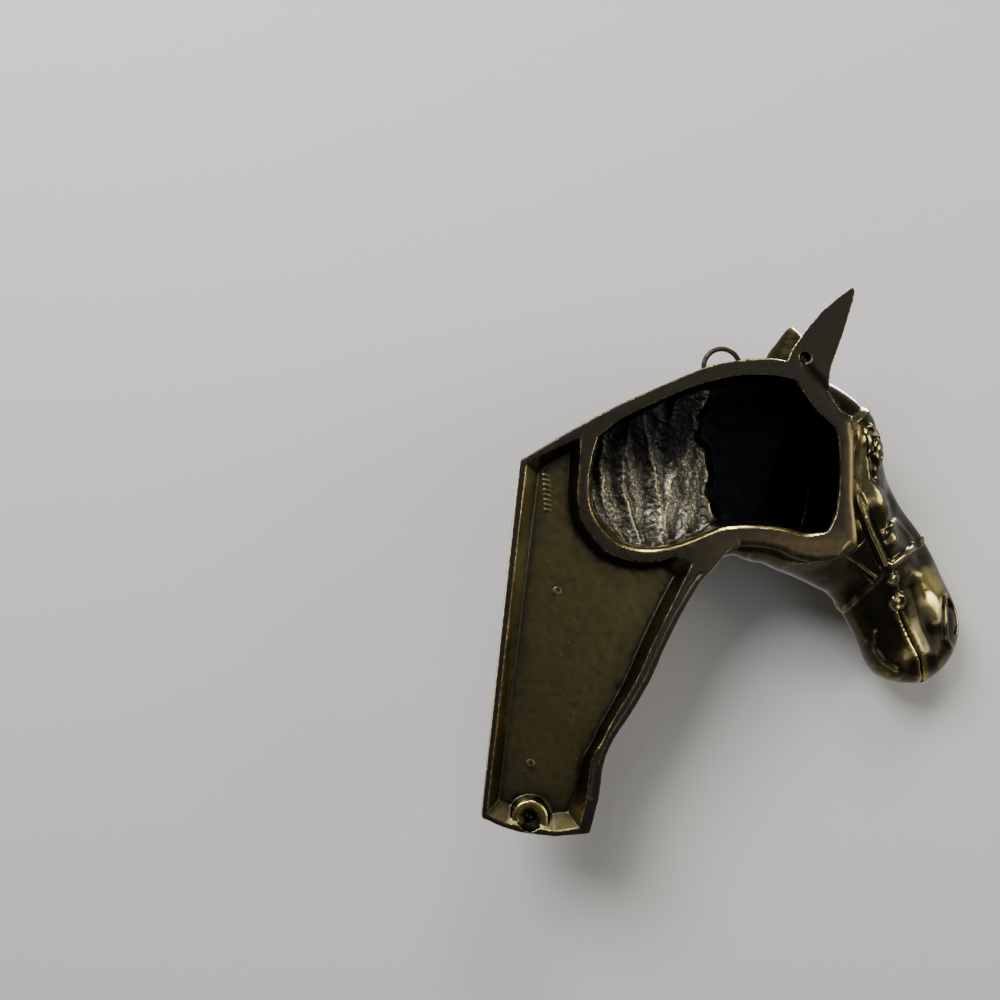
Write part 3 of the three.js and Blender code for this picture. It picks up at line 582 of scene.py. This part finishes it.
FIRST_GRID, LAST_GRID = 0.6, 0.5
casting = to_object("horse_relief_casting", body())
carve(casting, keep_block(), "INTERSECT")
collar_top = inset(collar_foot, lambda outward: np.full(len(outward), -COLLAR_DRAFT))
parts = [stack((footprint, 0), (footprint, -PLATE_DEPTH)),
         stack((collar_foot, 0), (collar_top, -COLLAR_DEPTH)),
         ear(**NEAR_EAR), ear(**FAR_EAR), *eye(1), *eye(-1), *mane(), *bridle()]
added = to_object("added", *parts)
join = bmesh.new()
join.from_mesh(casting.data)
join.from_mesh(added.data)
join.to_mesh(casting.data)
join.free()
bpy.data.objects.remove(added)
remesh(casting, FIRST_GRID)

for cut in face_cuts():
    carve(casting, to_object("cut", cut))
carve(casting, keep_block(), "INTERSECT")
cavity = to_object("cavity", hollow_mouth_form())
carve(cavity, to_object("inside", hollow_inside()), "INTERSECT")
carve(casting, cavity)

# The tray has a round boss at its foot with a cupped blind hole. A smaller hole is in the back of the near
# ear. Profiles are radius and depth.
BOSS_SPOT, BOSS_PROFILE = (88, -204.7), [(9.6, -20), (9.6, -TRAY_DEPTH), (8.2, -1.6)]
BOSS_HOLE = [(2.2, -9), (2.2, -5.8), (5.4, -1.6), (5.4, 3)]
EAR_HOLE_SPOT, EAR_HOLE = (-37.8, 6.4), [(1.9, -4.6), (1.9, -1.4), (3.2, 0), (3.2, 3)]
tray_form = to_object("tray_form", stack((tray_rim, 2), (tray_rim, 0), (tray_floor, -TRAY_DEPTH)))
carve(tray_form, to_object("boss", turned(BOSS_PROFILE, *BOSS_SPOT)))
carve(casting, tray_form)
carve(casting, to_object("hole", turned(BOSS_HOLE, *BOSS_SPOT)))
carve(casting, to_object("hole", turned(EAR_HOLE, *EAR_HOLE_SPOT)))


# The cut casting is made one even mesh, with its edges eased as a casting's are.
def even_out(piece):
    remesh(piece, LAST_GRID)
    ease_edges = piece.modifiers.new("ease", "SMOOTH")
    ease_edges.factor, ease_edges.iterations = 0.5, 3
    apply_all(piece)


# Two sockets in the crest hold the legs of the hanging loop.
LOOP_WIRE, LOOP_RADIUS, LOOP_LEG, SOCKET_GAP = 1.2, 8.2, 3.2, 0.35
LOOP_CENTRE = np.array([0, -3, 2.3])


def bent_wire(wire, leg):
    """Round wire bent to a half circle that stands on two straight legs."""
    def place(along, angle, pole):
        run = along * (2 * leg + math.pi * LOOP_RADIUS) - leg
        turn = np.clip(run / LOOP_RADIUS, 0, math.pi)
        below = np.maximum(-run, 0) + np.maximum(run - math.pi * LOOP_RADIUS, 0)
        spoke = np.stack([-np.cos(turn), 0 * turn, np.sin(turn)], axis=1)
        small = np.where(pole, 0, wire)
        middle = LOOP_CENTRE + spoke * LOOP_RADIUS - below[:, None] * [0, 0, 1]
        outwards, sideways = small * np.cos(angle), small * np.sin(angle)
        return middle + spoke * outwards[:, None] + sideways[:, None] * [0, 1, 0]
    return skin(96, 24, place)


def points_of(piece):
    flat = np.empty(len(piece.data.vertices) * 3)
    piece.data.vertices.foreach_get("co", flat)
    return flat.reshape(-1, 3)


def normals_of(piece):
    flat = np.empty(len(piece.data.vertices) * 3)
    piece.data.vertex_normals.foreach_get("vector", flat)
    return flat.reshape(-1, 3)


def put_points(piece, points):
    piece.data.vertices.foreach_set("co", points.ravel())
    piece.data.update()


def inside_of(p, line):
    """Which points lie inside an outline."""
    hit = np.zeros(len(p), bool)
    for a, b in zip(line, np.roll(line, -1, axis=0)):
        spans = (a[1] > p[:, 1]) != (b[1] > p[:, 1])
        with np.errstate(divide="ignore", invalid="ignore"):
            cross = (b[0] - a[0]) * (p[:, 1] - a[1]) / (b[1] - a[1]) + a[0]
        hit ^= spans & (p[:, 0] < cross)
    return hit


def grain(points, size, shift=0.0):
    """Smooth noise from -1 to 1 with lumps of about that size."""
    return np.array([noise.noise(p) for p in points / size + shift])


def zones(points, normals):
    """Which points belong to the hollow and which to the tray."""
    flat = points[:, [0, 2]]
    sunk = (normals[:, 1] > -0.25) & (points[:, 1] < -0.35)
    wider = lambda line, by: inset(line, lambda outward: np.full(len(outward), -by))
    hollow = inside_of(flat, wider(hollow_mouth, 0.4)) & sunk
    tray = inside_of(flat, wider(tray_rim, 0.3)) & sunk & (points[:, 1] > -TRAY_DEPTH - 1)
    return hollow, tray


VIEW_SPOT, VIEW_DISTANCE = np.array([101.7, -58.8]), 500


def seen_from_behind(p):
    """Where each point falls on the wall plane, looked at square on from half a metre behind it."""
    nearer = VIEW_DISTANCE / (VIEW_DISTANCE - p[:, 1])
    return VIEW_SPOT + (p[:, [0, 2]] - VIEW_SPOT) * nearer[:, None]


def wall_side_carving(p, n):
    """The carving of the side of the head next to the wall, placed as it is seen from behind."""
    q = seen_from_behind(p)
    i = np.where((q[:, 0] < -35) & (n[:, 1] > -0.2) & (p[:, 1] < -0.8))[0]
    at = q[i]
    # The groove of the seat's edge over the brow, the eye, and the cheek strap.
    h = ridge(at, [[-44.7, -2.7], [-47, -11.9], [-52, -17.8], [-57.9, -22.3], [-59.3, -26.9]], 1.2, 1.2)
    h += mound(at, -62.5, -30, 5, 1.6)
    h += ridge(at, [[-60.6, -58], [-66, -70], [-74, -88]], 0.9, 0.9)
    h += ridge(at, [[-58.4, -59], [-64, -71], [-72, -89]], 0.7, -0.7)
    h += ridge(at, [[-62.8, -57], [-68.2, -69], [-76.2, -86]], 0.7, -0.7)
    h += ridge(at, [[-66.6, -26], [-68.9, -31.5], [-68.9, -36.9], [-67, -39.2]], 1.0, -1.0)
    h += ridge(at, [[-64.9, -27], [-66.6, -32], [-66.4, -37]], 0.8, 0.7)
    # The facial crest and the fold in front of it.
    h += mound(at, -68.5, -60, 7, 1.6)
    fold = [[-68, -40.5], [-68.6, -49], [-73, -54], [-76.6, -60], [-77.6, -66], [-74.6, -72.5]]
    h += ridge(at, fold, 1.2, -1.1)
    # The noseband's edges, the throat strap and the rings of the bit.
    h += ridge(at, [[-72.5, -74], [-78.9, -68], [-86.8, -78]], 0.8, 0.7)
    h += ridge(at, [[-74.5, -77], [-79.6, -71.8], [-84, -79]], 1.6, -0.6)
    h += ridge(at, [[-76.6, -88], [-86.2, -81.2]], 1.5, 0.9)
    h += ridge(at, [[-56.1, -84.4], [-62.5, -88.5], [-69.3, -93.9]], 0.8, 0.8)
    h += ridge(at, [[-57.2, -86.6], [-63, -91.2], [-68.6, -96]], 0.8, -0.8)
    h += mound(at, -77.1, -94.8, 2.0, 1.3) + mound(at, -78.9, -105.3, 2.2, 1.5)
    # The lips, the nostril, the chin and the jaw.
    mouth = [[-78.9, -110.8], [-83, -116.7], [-87.6, -123.6], [-90.7, -131.8],
             [-91.7, -136.3], [-89.8, -139.5]]
    h += ridge(at, mouth, 3.2, 0.9)
    h += ridge(at, [[-92, -93], [-97, -103], [-97.5, -114]], 5, 1.0)
    h += ridge(at, [[-86, -99], [-90, -112], [-94.6, -124]], 3.2, -1.1)
    h += ridge(at, [[-100.3, -102.5], [-100.8, -113.5], [-101.4, -122], [-104, -126]], 1.1, 1.0)
    h += ridge(at, [[-68.9, -119], [-69.3, -127.2], [-73.4, -132.7], [-79, -136]], 1.2, 0.9)
    h += mound(at, -76, -126, 5.5, -0.9)
    h += ridge(at, [[-60, -104], [-62, -114], [-66, -122]], 2.5, 0.7)
    made = np.zeros(len(p))
    made[i] = h * ease(n[i, 1], -0.2, 0.25)
    return made


SEAT_EDGE = [[-38, 3], *BAND_RIGHT, *BAND_LOWER]
SEAT_ROUNDING = 3.4
SEAT_CORNER = (-62.5, -85)
NECK_END_DEPTH = 24
RING_MARKS = [(75.2, -100.8), (87.6, -180.6)]
STROKES_FROM, STROKES_TO, STROKE_COUNT = (80.3, -47.4), (79.6, -63.4), 8
PIMPLE_COUNT = 26


def work_surface(piece):
    """Wrinkles in the neck end of the hollow, marks on the tray's floor, a groove along the throat's rim,
    and the slight unevenness of hand-finished castings."""
    p, n = points_of(piece), normals_of(piece)
    hollow, tray = zones(p, n)
    flat = p[:, [0, 2]]
    raised = 0.10 * grain(p, 14) + 0.05 * grain(p, 5, 7.7)
    wall_face = (p[:, 1] > -0.6) & (n[:, 1] > 0.8)
    raised[wall_face] = 0
    # The wrinkles fan out from the foot of the neck.
    i = np.where(hollow & (p[:, 1] > -NECK_END_DEPTH))[0]
    bend = np.arctan2(flat[i, 0] - 20, flat[i, 1] + 150) * 60
    fan = np.stack([bend + 1.2 * grain(p[i], 12), p[i, 1] * 0.1, flat[i, 1] * 0.16], axis=1)
    share = ease(p[i, 0], 0, 7) * ease(p[i, 1], -3, -7)
    folds = 0.62 - np.abs(grain(fan, 6.5, 3.1)) * 2.4 + 0.4 * grain(fan, 2.6, 9.2)
    raised[i] += share * (2.0 * folds + 0.22 * grain(p[i], 1.2, 5.5) + 0.25 * grain(p[i], 2.3))
    i = np.where(hollow & (p[:, 1] <= -NECK_END_DEPTH))[0]
    raised[i] += 0.5 * grain(p[i], 6, 1.3)
    # The tray's floor has two ring marks, a column of short strokes, and scattered pimples.
    i = np.where(tray & (n[:, 1] > 0.9))[0]
    raised[i] += 0.06 * grain(p[i], 3)
    for x, z in RING_MARKS:
        away = np.hypot(flat[i, 0] - x, flat[i, 1] - z)
        raised[i] += 0.4 * np.exp(-(((away - 1.45) / 0.38) ** 2)) + 0.22 * np.exp(-((away / 0.5) ** 2))
    for k in range(STROKE_COUNT):
        share = k / (STROKE_COUNT - 1)
        x = STROKES_FROM[0] + (STROKES_TO[0] - STROKES_FROM[0]) * share
        z = STROKES_FROM[1] + (STROKES_TO[1] - STROKES_FROM[1]) * share
        raised[i] += ridge(flat[i], [[x - 1.3, z - 0.25], [x + 1.3, z + 0.25]], 0.38, 0.4)
    for k in range(PIMPLE_COUNT):
        x, z = 66 + 34 * abs(noise.noise((k * 3.7, 1.1, 0))) * 2, -55 - 140 * (k / PIMPLE_COUNT)
        raised[i] += mound(flat[i], x, z, 0.5, 0.16)
    throat = np.array(THROAT_LINE[:-1]) + [3.4, 0.9]
    rim = wall_face & (p[:, 2] < -92)
    raised[rim] -= ridge(flat[rim], throat, 0.7, 0.45)
    raised += wall_side_carving(p, n)
    p += n * raised[:, None]
    # The seat's edge is rounded, most at its corner, and what is left of the wall face is made flat.
    shoulder = np.minimum(away_from(flat, SEAT_EDGE) / SEAT_ROUNDING, 1)
    near_seat = (p[:, 1] > -6) & (flat[:, 0] < -8)
    p[near_seat, 1] -= 1.5 * (1 - shoulder[near_seat]) ** 2 + mound(flat[near_seat], *SEAT_CORNER, 5, 3)
    p[:, 1] = np.minimum(p[:, 1], 0)
    snap = (p[:, 1] > -0.35) & (n[:, 1] > 0.85) & ~(rim & (away_from(flat, throat) < 1.8))
    corner = np.hypot(flat[:, 0] - SEAT_CORNER[0], flat[:, 1] - SEAT_CORNER[1]) < 9
    snap &= ~(near_seat & ((shoulder < 1) | corner))
    p[snap, 1] = 0
    put_points(piece, p)


def thin_out(piece, triangles):
    fewer = piece.modifiers.new("thin", "DECIMATE")
    fewer.ratio = min(1, triangles / (len(piece.data.polygons) * 2))
    apply_all(piece)


TRIANGLES = 191000
BOX_LOW, BOX_HIGH = [-127, -64, -212.5], [110.4, 0, 38.6]
even_out(casting)
work_surface(casting)
carve(casting, to_object("sockets", bent_wire(LOOP_WIRE + SOCKET_GAP, LOOP_LEG + SOCKET_GAP)))
thin_out(casting, TRIANGLES)
put_points(casting, np.clip(points_of(casting), BOX_LOW, BOX_HIGH))


def curvature(piece, rounds):
    """How far each point stands above the smoothed surface round it, in millimetres."""
    p, n = points_of(piece), normals_of(piece)
    pairs = np.empty(len(piece.data.edges) * 2, int)
    piece.data.edges.foreach_get("vertices", pairs)
    a, b = pairs.reshape(-1, 2).T
    count = np.bincount(a, minlength=len(p)) + np.bincount(b, minlength=len(p))
    q = p.copy()
    for _ in range(rounds):
        total = [np.bincount(a, q[b, k], len(p)) + np.bincount(b, q[a, k], len(p)) for k in range(3)]
        q = 0.5 * q + 0.5 * np.stack(total, axis=1) / np.maximum(count, 1)[:, None]
    return np.sum((p - q) * n, axis=1)


def write_attribute(piece, name, values):
    piece.data.attributes.new(name, "FLOAT", "POINT").data.foreach_set("value", values.astype(np.float32))


# The finish follows the shape: high places are rubbed bright, and three patches of the head and the
# hollow's lip are painted highlights in rubbed brass. Dark patina lies in the recesses and stands in for
# their shade too, and the nostril has a painted shade. The hollow is painted shade, darker with depth; its
# neck end has painted highlights that fade into painted shadow towards the top. The rim is satin.
PAINTED_HIGHLIGHT_PATCHES = [(-94.4, -99, 8, 1.2), (-60.5, -27, 4.5, 0.9), (-84, -127, 8, 0.3)]
NOSTRIL_PAINTED_SHADE = [[-103, -104.5], [-103.8, -111], [-103.4, -119]]
SEAT_SATIN = 3.6

p, n = points_of(casting), normals_of(casting)
hollow, tray = zones(p, n)
fine, broad = curvature(casting, 8), curvature(casting, 60)
wall_face = (p[:, 1] > -0.5) & (n[:, 1] > 0.6)
by_the_seat = (p[:, 1] > -3) & (away_from(p[:, [0, 2]], SEAT_EDGE) < SEAT_SATIN)
seen = seen_from_behind(p)
beside = (n[:, 1] > -0.3) & (p[:, 1] < -0.8) & (seen[:, 0] < -50)
# Gold patches on the muzzle, the brow and the lips are painted highlights, where the lamps' reflection
# falls.
painted_highlight = sum(mound(seen, *patch) for patch in PAINTED_HIGHLIGHT_PATCHES)
worn_and_highlight = np.clip(fine / 0.3, 0, 1) * 0.7 + np.clip((broad - 0.2) / 1.6, 0, 1) * 0.4
worn_and_highlight += np.where(beside, painted_highlight, 0)
# The hollow's lip, where it does not face down, is lifted to rubbed brass: a painted highlight.
lip = hollow & (p[:, 1] > -3.6) & (n[:, 2] > -0.1)
worn_and_highlight = np.where(lip, np.maximum(worn_and_highlight, 0.55), worn_and_highlight)
worn_and_highlight = np.where(by_the_seat, 0.3 * worn_and_highlight, worn_and_highlight)
write_attribute(casting, "worn_and_highlight", worn_and_highlight * np.where(p[:, 1] > -0.02, 0.06, 1))
# The recesses take dark patina, which also stands in for the shade in them; the nostril gets a painted
# shade.
recess_patina_and_shade = np.clip(-fine / 0.16, 0, 1) * 0.7 + np.clip(-broad / 0.9, 0, 1) * 0.7
recess_patina_and_shade += np.where(beside, ridge(seen, NOSTRIL_PAINTED_SHADE, 2.0, 1.2), 0)
write_attribute(casting, "recess_patina_and_shade", np.where(wall_face, 0, recess_patina_and_shade))
rough_end = ease(p[:, 0], -1, 8) * ease(p[:, 1], -3, -6)
# The hollow is painted near black as painted shade, darker with depth, but not at the lip or the neck end.
depth_shade = np.maximum(0.25 + 0.75 * ease(p[:, 1], -19, -NECK_END_DEPTH), rough_end)
write_attribute(casting, "hollow", hollow * depth_shade * np.where(lip, 0, 1))
# The neck end's floor fades into a painted shadow of the upper rim towards the top.
below_painted_rim_shadow = (0.10 + 0.90 * ease(p[:, 2] + 0.25 * p[:, 0], -22, -60)) * (1 - 0.5 * ease(p[:, 2], -45, -28))
write_attribute(casting, "neck_end_painted_light", hollow * rough_end * below_painted_rim_shadow)
write_attribute(casting, "tray", tray * ease(n[:, 1], 0.3, 0.8))
write_attribute(casting, "wall_face", (wall_face | (by_the_seat & (n[:, 1] > 0.25))).astype(float))
casting.data.transform(Matrix.Scale(0.001, 4))
casting.data.shade_smooth()
even_light = casting.modifiers.new("even_light", "WEIGHTED_NORMAL")
even_light.weight = 90
apply_all(casting)


def new_material(name):
    material = bpy.data.materials.new(name)
    material.use_nodes = True
    return material, material.node_tree


def add(tree, kind, inputs=(), **settings):
    """A node with its settings; inputs are (socket, value or output) pairs."""
    made = tree.nodes.new(kind)
    for key, value in settings.items():
        setattr(made, key, value)
    for socket, value in inputs:
        if isinstance(value, bpy.types.NodeSocket):
            tree.links.new(value, made.inputs[socket])
        else:
            made.inputs[socket].default_value = value
    return made


def attribute(tree, name):
    return add(tree, "ShaderNodeAttribute", attribute_name=name).outputs["Fac"]


def noise_of(tree, at, scale, detail=4, roughness=0.55):
    made = add(tree, "ShaderNodeTexNoise",
               [("Vector", at), ("Scale", scale), ("Detail", detail), ("Roughness", roughness)])
    return made.outputs["Fac"]


def math_of(tree, operation, *values, clamp=False):
    made = add(tree, "ShaderNodeMath", list(enumerate(values)), operation=operation, use_clamp=clamp)
    return made.outputs[0]


def times(tree, a, b):
    return math_of(tree, "MULTIPLY", a, b)


def plus(tree, a, b):
    return math_of(tree, "ADD", a, b)


def remap(tree, value, low, high, to_low=0.0, to_high=1.0):
    made = add(tree, "ShaderNodeMapRange", list(enumerate((value, low, high, to_low, to_high))))
    return made.outputs[0]


def blend(tree, factor, a, b):
    """One colour over another."""
    made = add(tree, "ShaderNodeMix", [(0, factor)], data_type="RGBA")
    for socket, value in ((6, a), (7, b)):
        if isinstance(value, bpy.types.NodeSocket):
            tree.links.new(value, made.inputs[socket])
        else:
            made.inputs[socket].default_value = (*value, 1)
    return made.outputs[2]


DARK_PATINA = (0.036, 0.033, 0.022)
BROWN_PATINA = (0.110, 0.091, 0.047)
OLIVE_PATINA = (0.165, 0.145, 0.055)
FACE_BROWN = (0.044, 0.039, 0.030)
FACE_BRONZE = (0.17, 0.125, 0.055)
RUBBED_AND_HIGHLIGHT_BRASS = (0.70, 0.57, 0.20)
HOLLOW_PAINTED_SHADE = (0.005, 0.0055, 0.007)
FLOOR_DARK = (0.05, 0.048, 0.040)
BARE_GREY_HIGHLIGHT = (0.74, 0.68, 0.46)


def antique_brass():
    material, tree = new_material("antique_brass")
    at = add(tree, "ShaderNodeTexCoord").outputs["Object"]
    clouds, mottle = noise_of(tree, at, 45), noise_of(tree, at, 260, 6)
    speck = noise_of(tree, at, 1500, 3, 0.7)
    cut_face, in_tray = attribute(tree, "wall_face"), attribute(tree, "tray")
    in_hollow_shade, neck_end_painted_light = attribute(tree, "hollow"), attribute(tree, "neck_end_painted_light")
    uneven = times(tree, remap(tree, mottle, 0.3, 0.7, -0.12, 0.12), remap(tree, cut_face, 0, 1, 1, 0.2))
    worn_and_highlight = plus(tree, attribute(tree, "worn_and_highlight"), uneven)
    # Dark brown clouds outside, olive in the tray, and a bronze tint on the band's outer and lower edges.
    patina = blend(tree, remap(tree, clouds, 0.25, 0.8), DARK_PATINA, BROWN_PATINA)
    olive = blend(tree, remap(tree, mottle, 0.3, 0.7), OLIVE_PATINA, BROWN_PATINA)
    patina = blend(tree, in_tray, patina, olive)
    spot = add(tree, "ShaderNodeSeparateXYZ", [(0, at)])
    x, z = spot.outputs["X"], spot.outputs["Z"]
    outer = times(tree, remap(tree, x, -0.0545, -0.0605), remap(tree, z, -0.016, -0.030))
    lower = times(tree, remap(tree, x, 0.02, -0.03, 0, 0.6), remap(tree, z, -0.070, -0.078))
    bronze = times(tree, math_of(tree, "MAXIMUM", outer, lower), remap(tree, mottle, 0.25, 0.6, 0.3, 1))
    patina = blend(tree, cut_face, patina, blend(tree, bronze, FACE_BROWN, FACE_BRONZE))
    # Rubbed places and painted highlights over the patina, dark patina and painted shade over both, then
    # the painted shade of the hollow and the painted highlights of its neck end.
    # Rubbed brass shows real wear on the high places and the painted highlights of the patches and the lip.
    rubbed_and_highlit = remap(tree, worn_and_highlight, 0.25, 1.1)
    colour = blend(tree, rubbed_and_highlit, patina, RUBBED_AND_HIGHLIGHT_BRASS)
    # Dark patina and painted shade of the recesses and the nostril.
    patina_and_shade = math_of(tree, "MULTIPLY", attribute(tree, "recess_patina_and_shade"), 0.9, clamp=True)
    colour = blend(tree, patina_and_shade, colour, DARK_PATINA)
    # Painted shade of the hollow.
    colour = blend(tree, in_hollow_shade, colour, HOLLOW_PAINTED_SHADE)
    # The neck end's floor: dark metal with painted highlights in bare grey on the fold crests and on
    # specks.
    glint = plus(tree, times(tree, speck, 0.7), times(tree, worn_and_highlight, 0.42))
    floor = blend(tree, remap(tree, glint, 0.36, 0.8), FLOOR_DARK, BARE_GREY_HIGHLIGHT)
    colour = blend(tree, neck_end_painted_light, colour, floor)
    rough = remap(tree, mottle, 0.3, 0.7, 0.17, 0.26)
    for where, duller in ((cut_face, 0.18), (in_tray, 0.12), (in_hollow_shade, 0.2)):
        rough = plus(tree, rough, times(tree, where, duller))
    rough = math_of(tree, "SUBTRACT", rough, times(tree, rubbed_and_highlit, 0.12), clamp=True)
    height = plus(tree, times(tree, mottle, 0.6), times(tree, speck, 0.4))
    bump = add(tree, "ShaderNodeBump", [("Strength", 0.25), ("Distance", 0.0003), ("Height", height)])
    shader = tree.nodes["Principled BSDF"]
    shader.inputs["Metallic"].default_value = 1
    tree.links.new(colour, shader.inputs["Base Color"])
    tree.links.new(rough, shader.inputs["Roughness"])
    tree.links.new(bump.outputs[0], shader.inputs["Normal"])
    return material


casting.data.materials.clear()
casting.data.materials.append(antique_brass())
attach(casting, "root")
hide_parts("plaque_casting")

# The hanging loop: a piece of round wire bent to a half circle, its two short legs let into the crest. It
# is dark and dull, with the brown of old wire.
WIRE_DARK = (0.02, 0.018, 0.016)
WIRE_BROWN = (0.09, 0.072, 0.05)


def loop_wire():
    material, tree = new_material("loop_wire")
    at = add(tree, "ShaderNodeTexCoord").outputs["Object"]
    clouds, speck = noise_of(tree, at, 400, 5), noise_of(tree, at, 2500, 3)
    colour = blend(tree, remap(tree, clouds, 0.35, 0.65), WIRE_DARK, WIRE_BROWN)
    rough = remap(tree, speck, 0.3, 0.7, 0.35, 0.55)
    bump = add(tree, "ShaderNodeBump", [("Strength", 0.3), ("Distance", 0.0001), ("Height", speck)])
    shader = tree.nodes["Principled BSDF"]
    shader.inputs["Metallic"].default_value = 1
    tree.links.new(colour, shader.inputs["Base Color"])
    tree.links.new(rough, shader.inputs["Roughness"])
    tree.links.new(bump.outputs[0], shader.inputs["Normal"])
    return material


loop = to_object("hanging_loop_wire", bent_wire(LOOP_WIRE, LOOP_LEG))
loop.data.transform(Matrix.Scale(0.001, 4))
loop.data.shade_smooth()
loop.data.materials.append(loop_wire())
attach(loop, "root")
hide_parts("hanging_loop")

# The table: a pale painted top that the plaque lies on, face down. It is a stage plane seen only from its
# own side, and throws nothing on the plaque, so that views of the relief side look through it.
TABLE_DEPTH, TABLE_HALF = 0.0646, 2.5
TABLE_GREY = (0.535, 0.53, 0.525, 1)
table_mesh = bmesh.new()
bmesh.ops.create_grid(table_mesh, x_segments=1, y_segments=1, size=TABLE_HALF)
bmesh.ops.rotate(table_mesh, verts=table_mesh.verts, matrix=Matrix.Rotation(-math.pi / 2, 3, "X"))
bmesh.ops.translate(table_mesh, verts=table_mesh.verts, vec=(0, -TABLE_DEPTH, 0))
table = to_object("table", table_mesh)
paint, tree = new_material("table_paint")
shader = tree.nodes["Principled BSDF"]
shader.inputs["Base Color"].default_value = TABLE_GREY
shader.inputs["Roughness"].default_value = 0.6
clear = add(tree, "ShaderNodeBsdfTransparent")
side = add(tree, "ShaderNodeNewGeometry").outputs["Backfacing"]
both = add(tree, "ShaderNodeMixShader", [(0, side), (1, shader.outputs[0]), (2, clear.outputs[0])])
tree.links.new(both.outputs[0], tree.nodes["Material Output"].inputs["Surface"])
table.data.materials.append(paint)
table.visible_shadow = False
table.visible_diffuse = False
table.visible_glossy = False

# The light: a soft window at the upper left of the picture, weaker lights overhead and low at the side, a
# little fill, and two lamps for the relief side. The room is dark behind the camera and pale on the relief
# side, and its background is plain grey.
def soft_light(name, place, size, power, colour=(1, 1, 1), towards=(0, 0, -0.07)):
    lamp = bpy.data.lights.new(name, "AREA")
    lamp.shape, lamp.size, lamp.energy, lamp.color = "DISK", size, power, colour
    made = bpy.data.objects.new(name, lamp)
    bpy.context.scene.collection.objects.link(made)
    made.location = place
    made.rotation_mode = "QUATERNION"
    made.rotation_quaternion = (Vector(towards) - Vector(place)).to_track_quat("-Z", "Y")


soft_light("window", (0.8, 1.15, 0.95), 0.9, 43)
soft_light("overhead", (-0.15, 0.75, 1.3), 0.5, 14, (1, 0.96, 0.86))
soft_light("side", (-1.15, 0.5, 0.02), 0.6, 7.5, (1, 0.95, 0.80))
soft_light("fill", (-0.9, 1.4, -0.2), 1.4, 4)
soft_light("front_key", (-0.55, -0.8, 0.6), 0.5, 14)
soft_light("front_fill", (0.7, -0.9, 0.0), 0.8, 4)

DARK_ROOM, PALE_ROOM, BACKGROUND = (0.09, 0.09, 0.095), (0.40, 0.40, 0.40), (0.5, 0.5, 0.5)
world = bpy.data.worlds.new("room")
world.use_nodes = True
bpy.context.scene.world = world
tree = world.node_tree
direction = add(tree, "ShaderNodeTexCoord").outputs["Generated"]
towards_relief = remap(tree, add(tree, "ShaderNodeSeparateXYZ", [(0, direction)]).outputs["Y"], 0.25, -0.15)
room = blend(tree, towards_relief, DARK_ROOM, PALE_ROOM)
camera_ray = add(tree, "ShaderNodeLightPath").outputs["Is Camera Ray"]
tree.links.new(blend(tree, camera_ray, room, BACKGROUND), tree.nodes["Background"].inputs["Color"])

# The camera: square on to the back and half a metre from the wall plane, where the photograph was taken
# from.
camera = bpy.data.objects.new("camera", bpy.data.cameras.new("camera"))
bpy.context.scene.collection.objects.link(camera)
camera.data.lens = 39.47
camera.location = (0.1017, 0.5, -0.0588)
camera.rotation_euler = (math.pi / 2, 0, math.pi)
bpy.context.scene.camera = camera
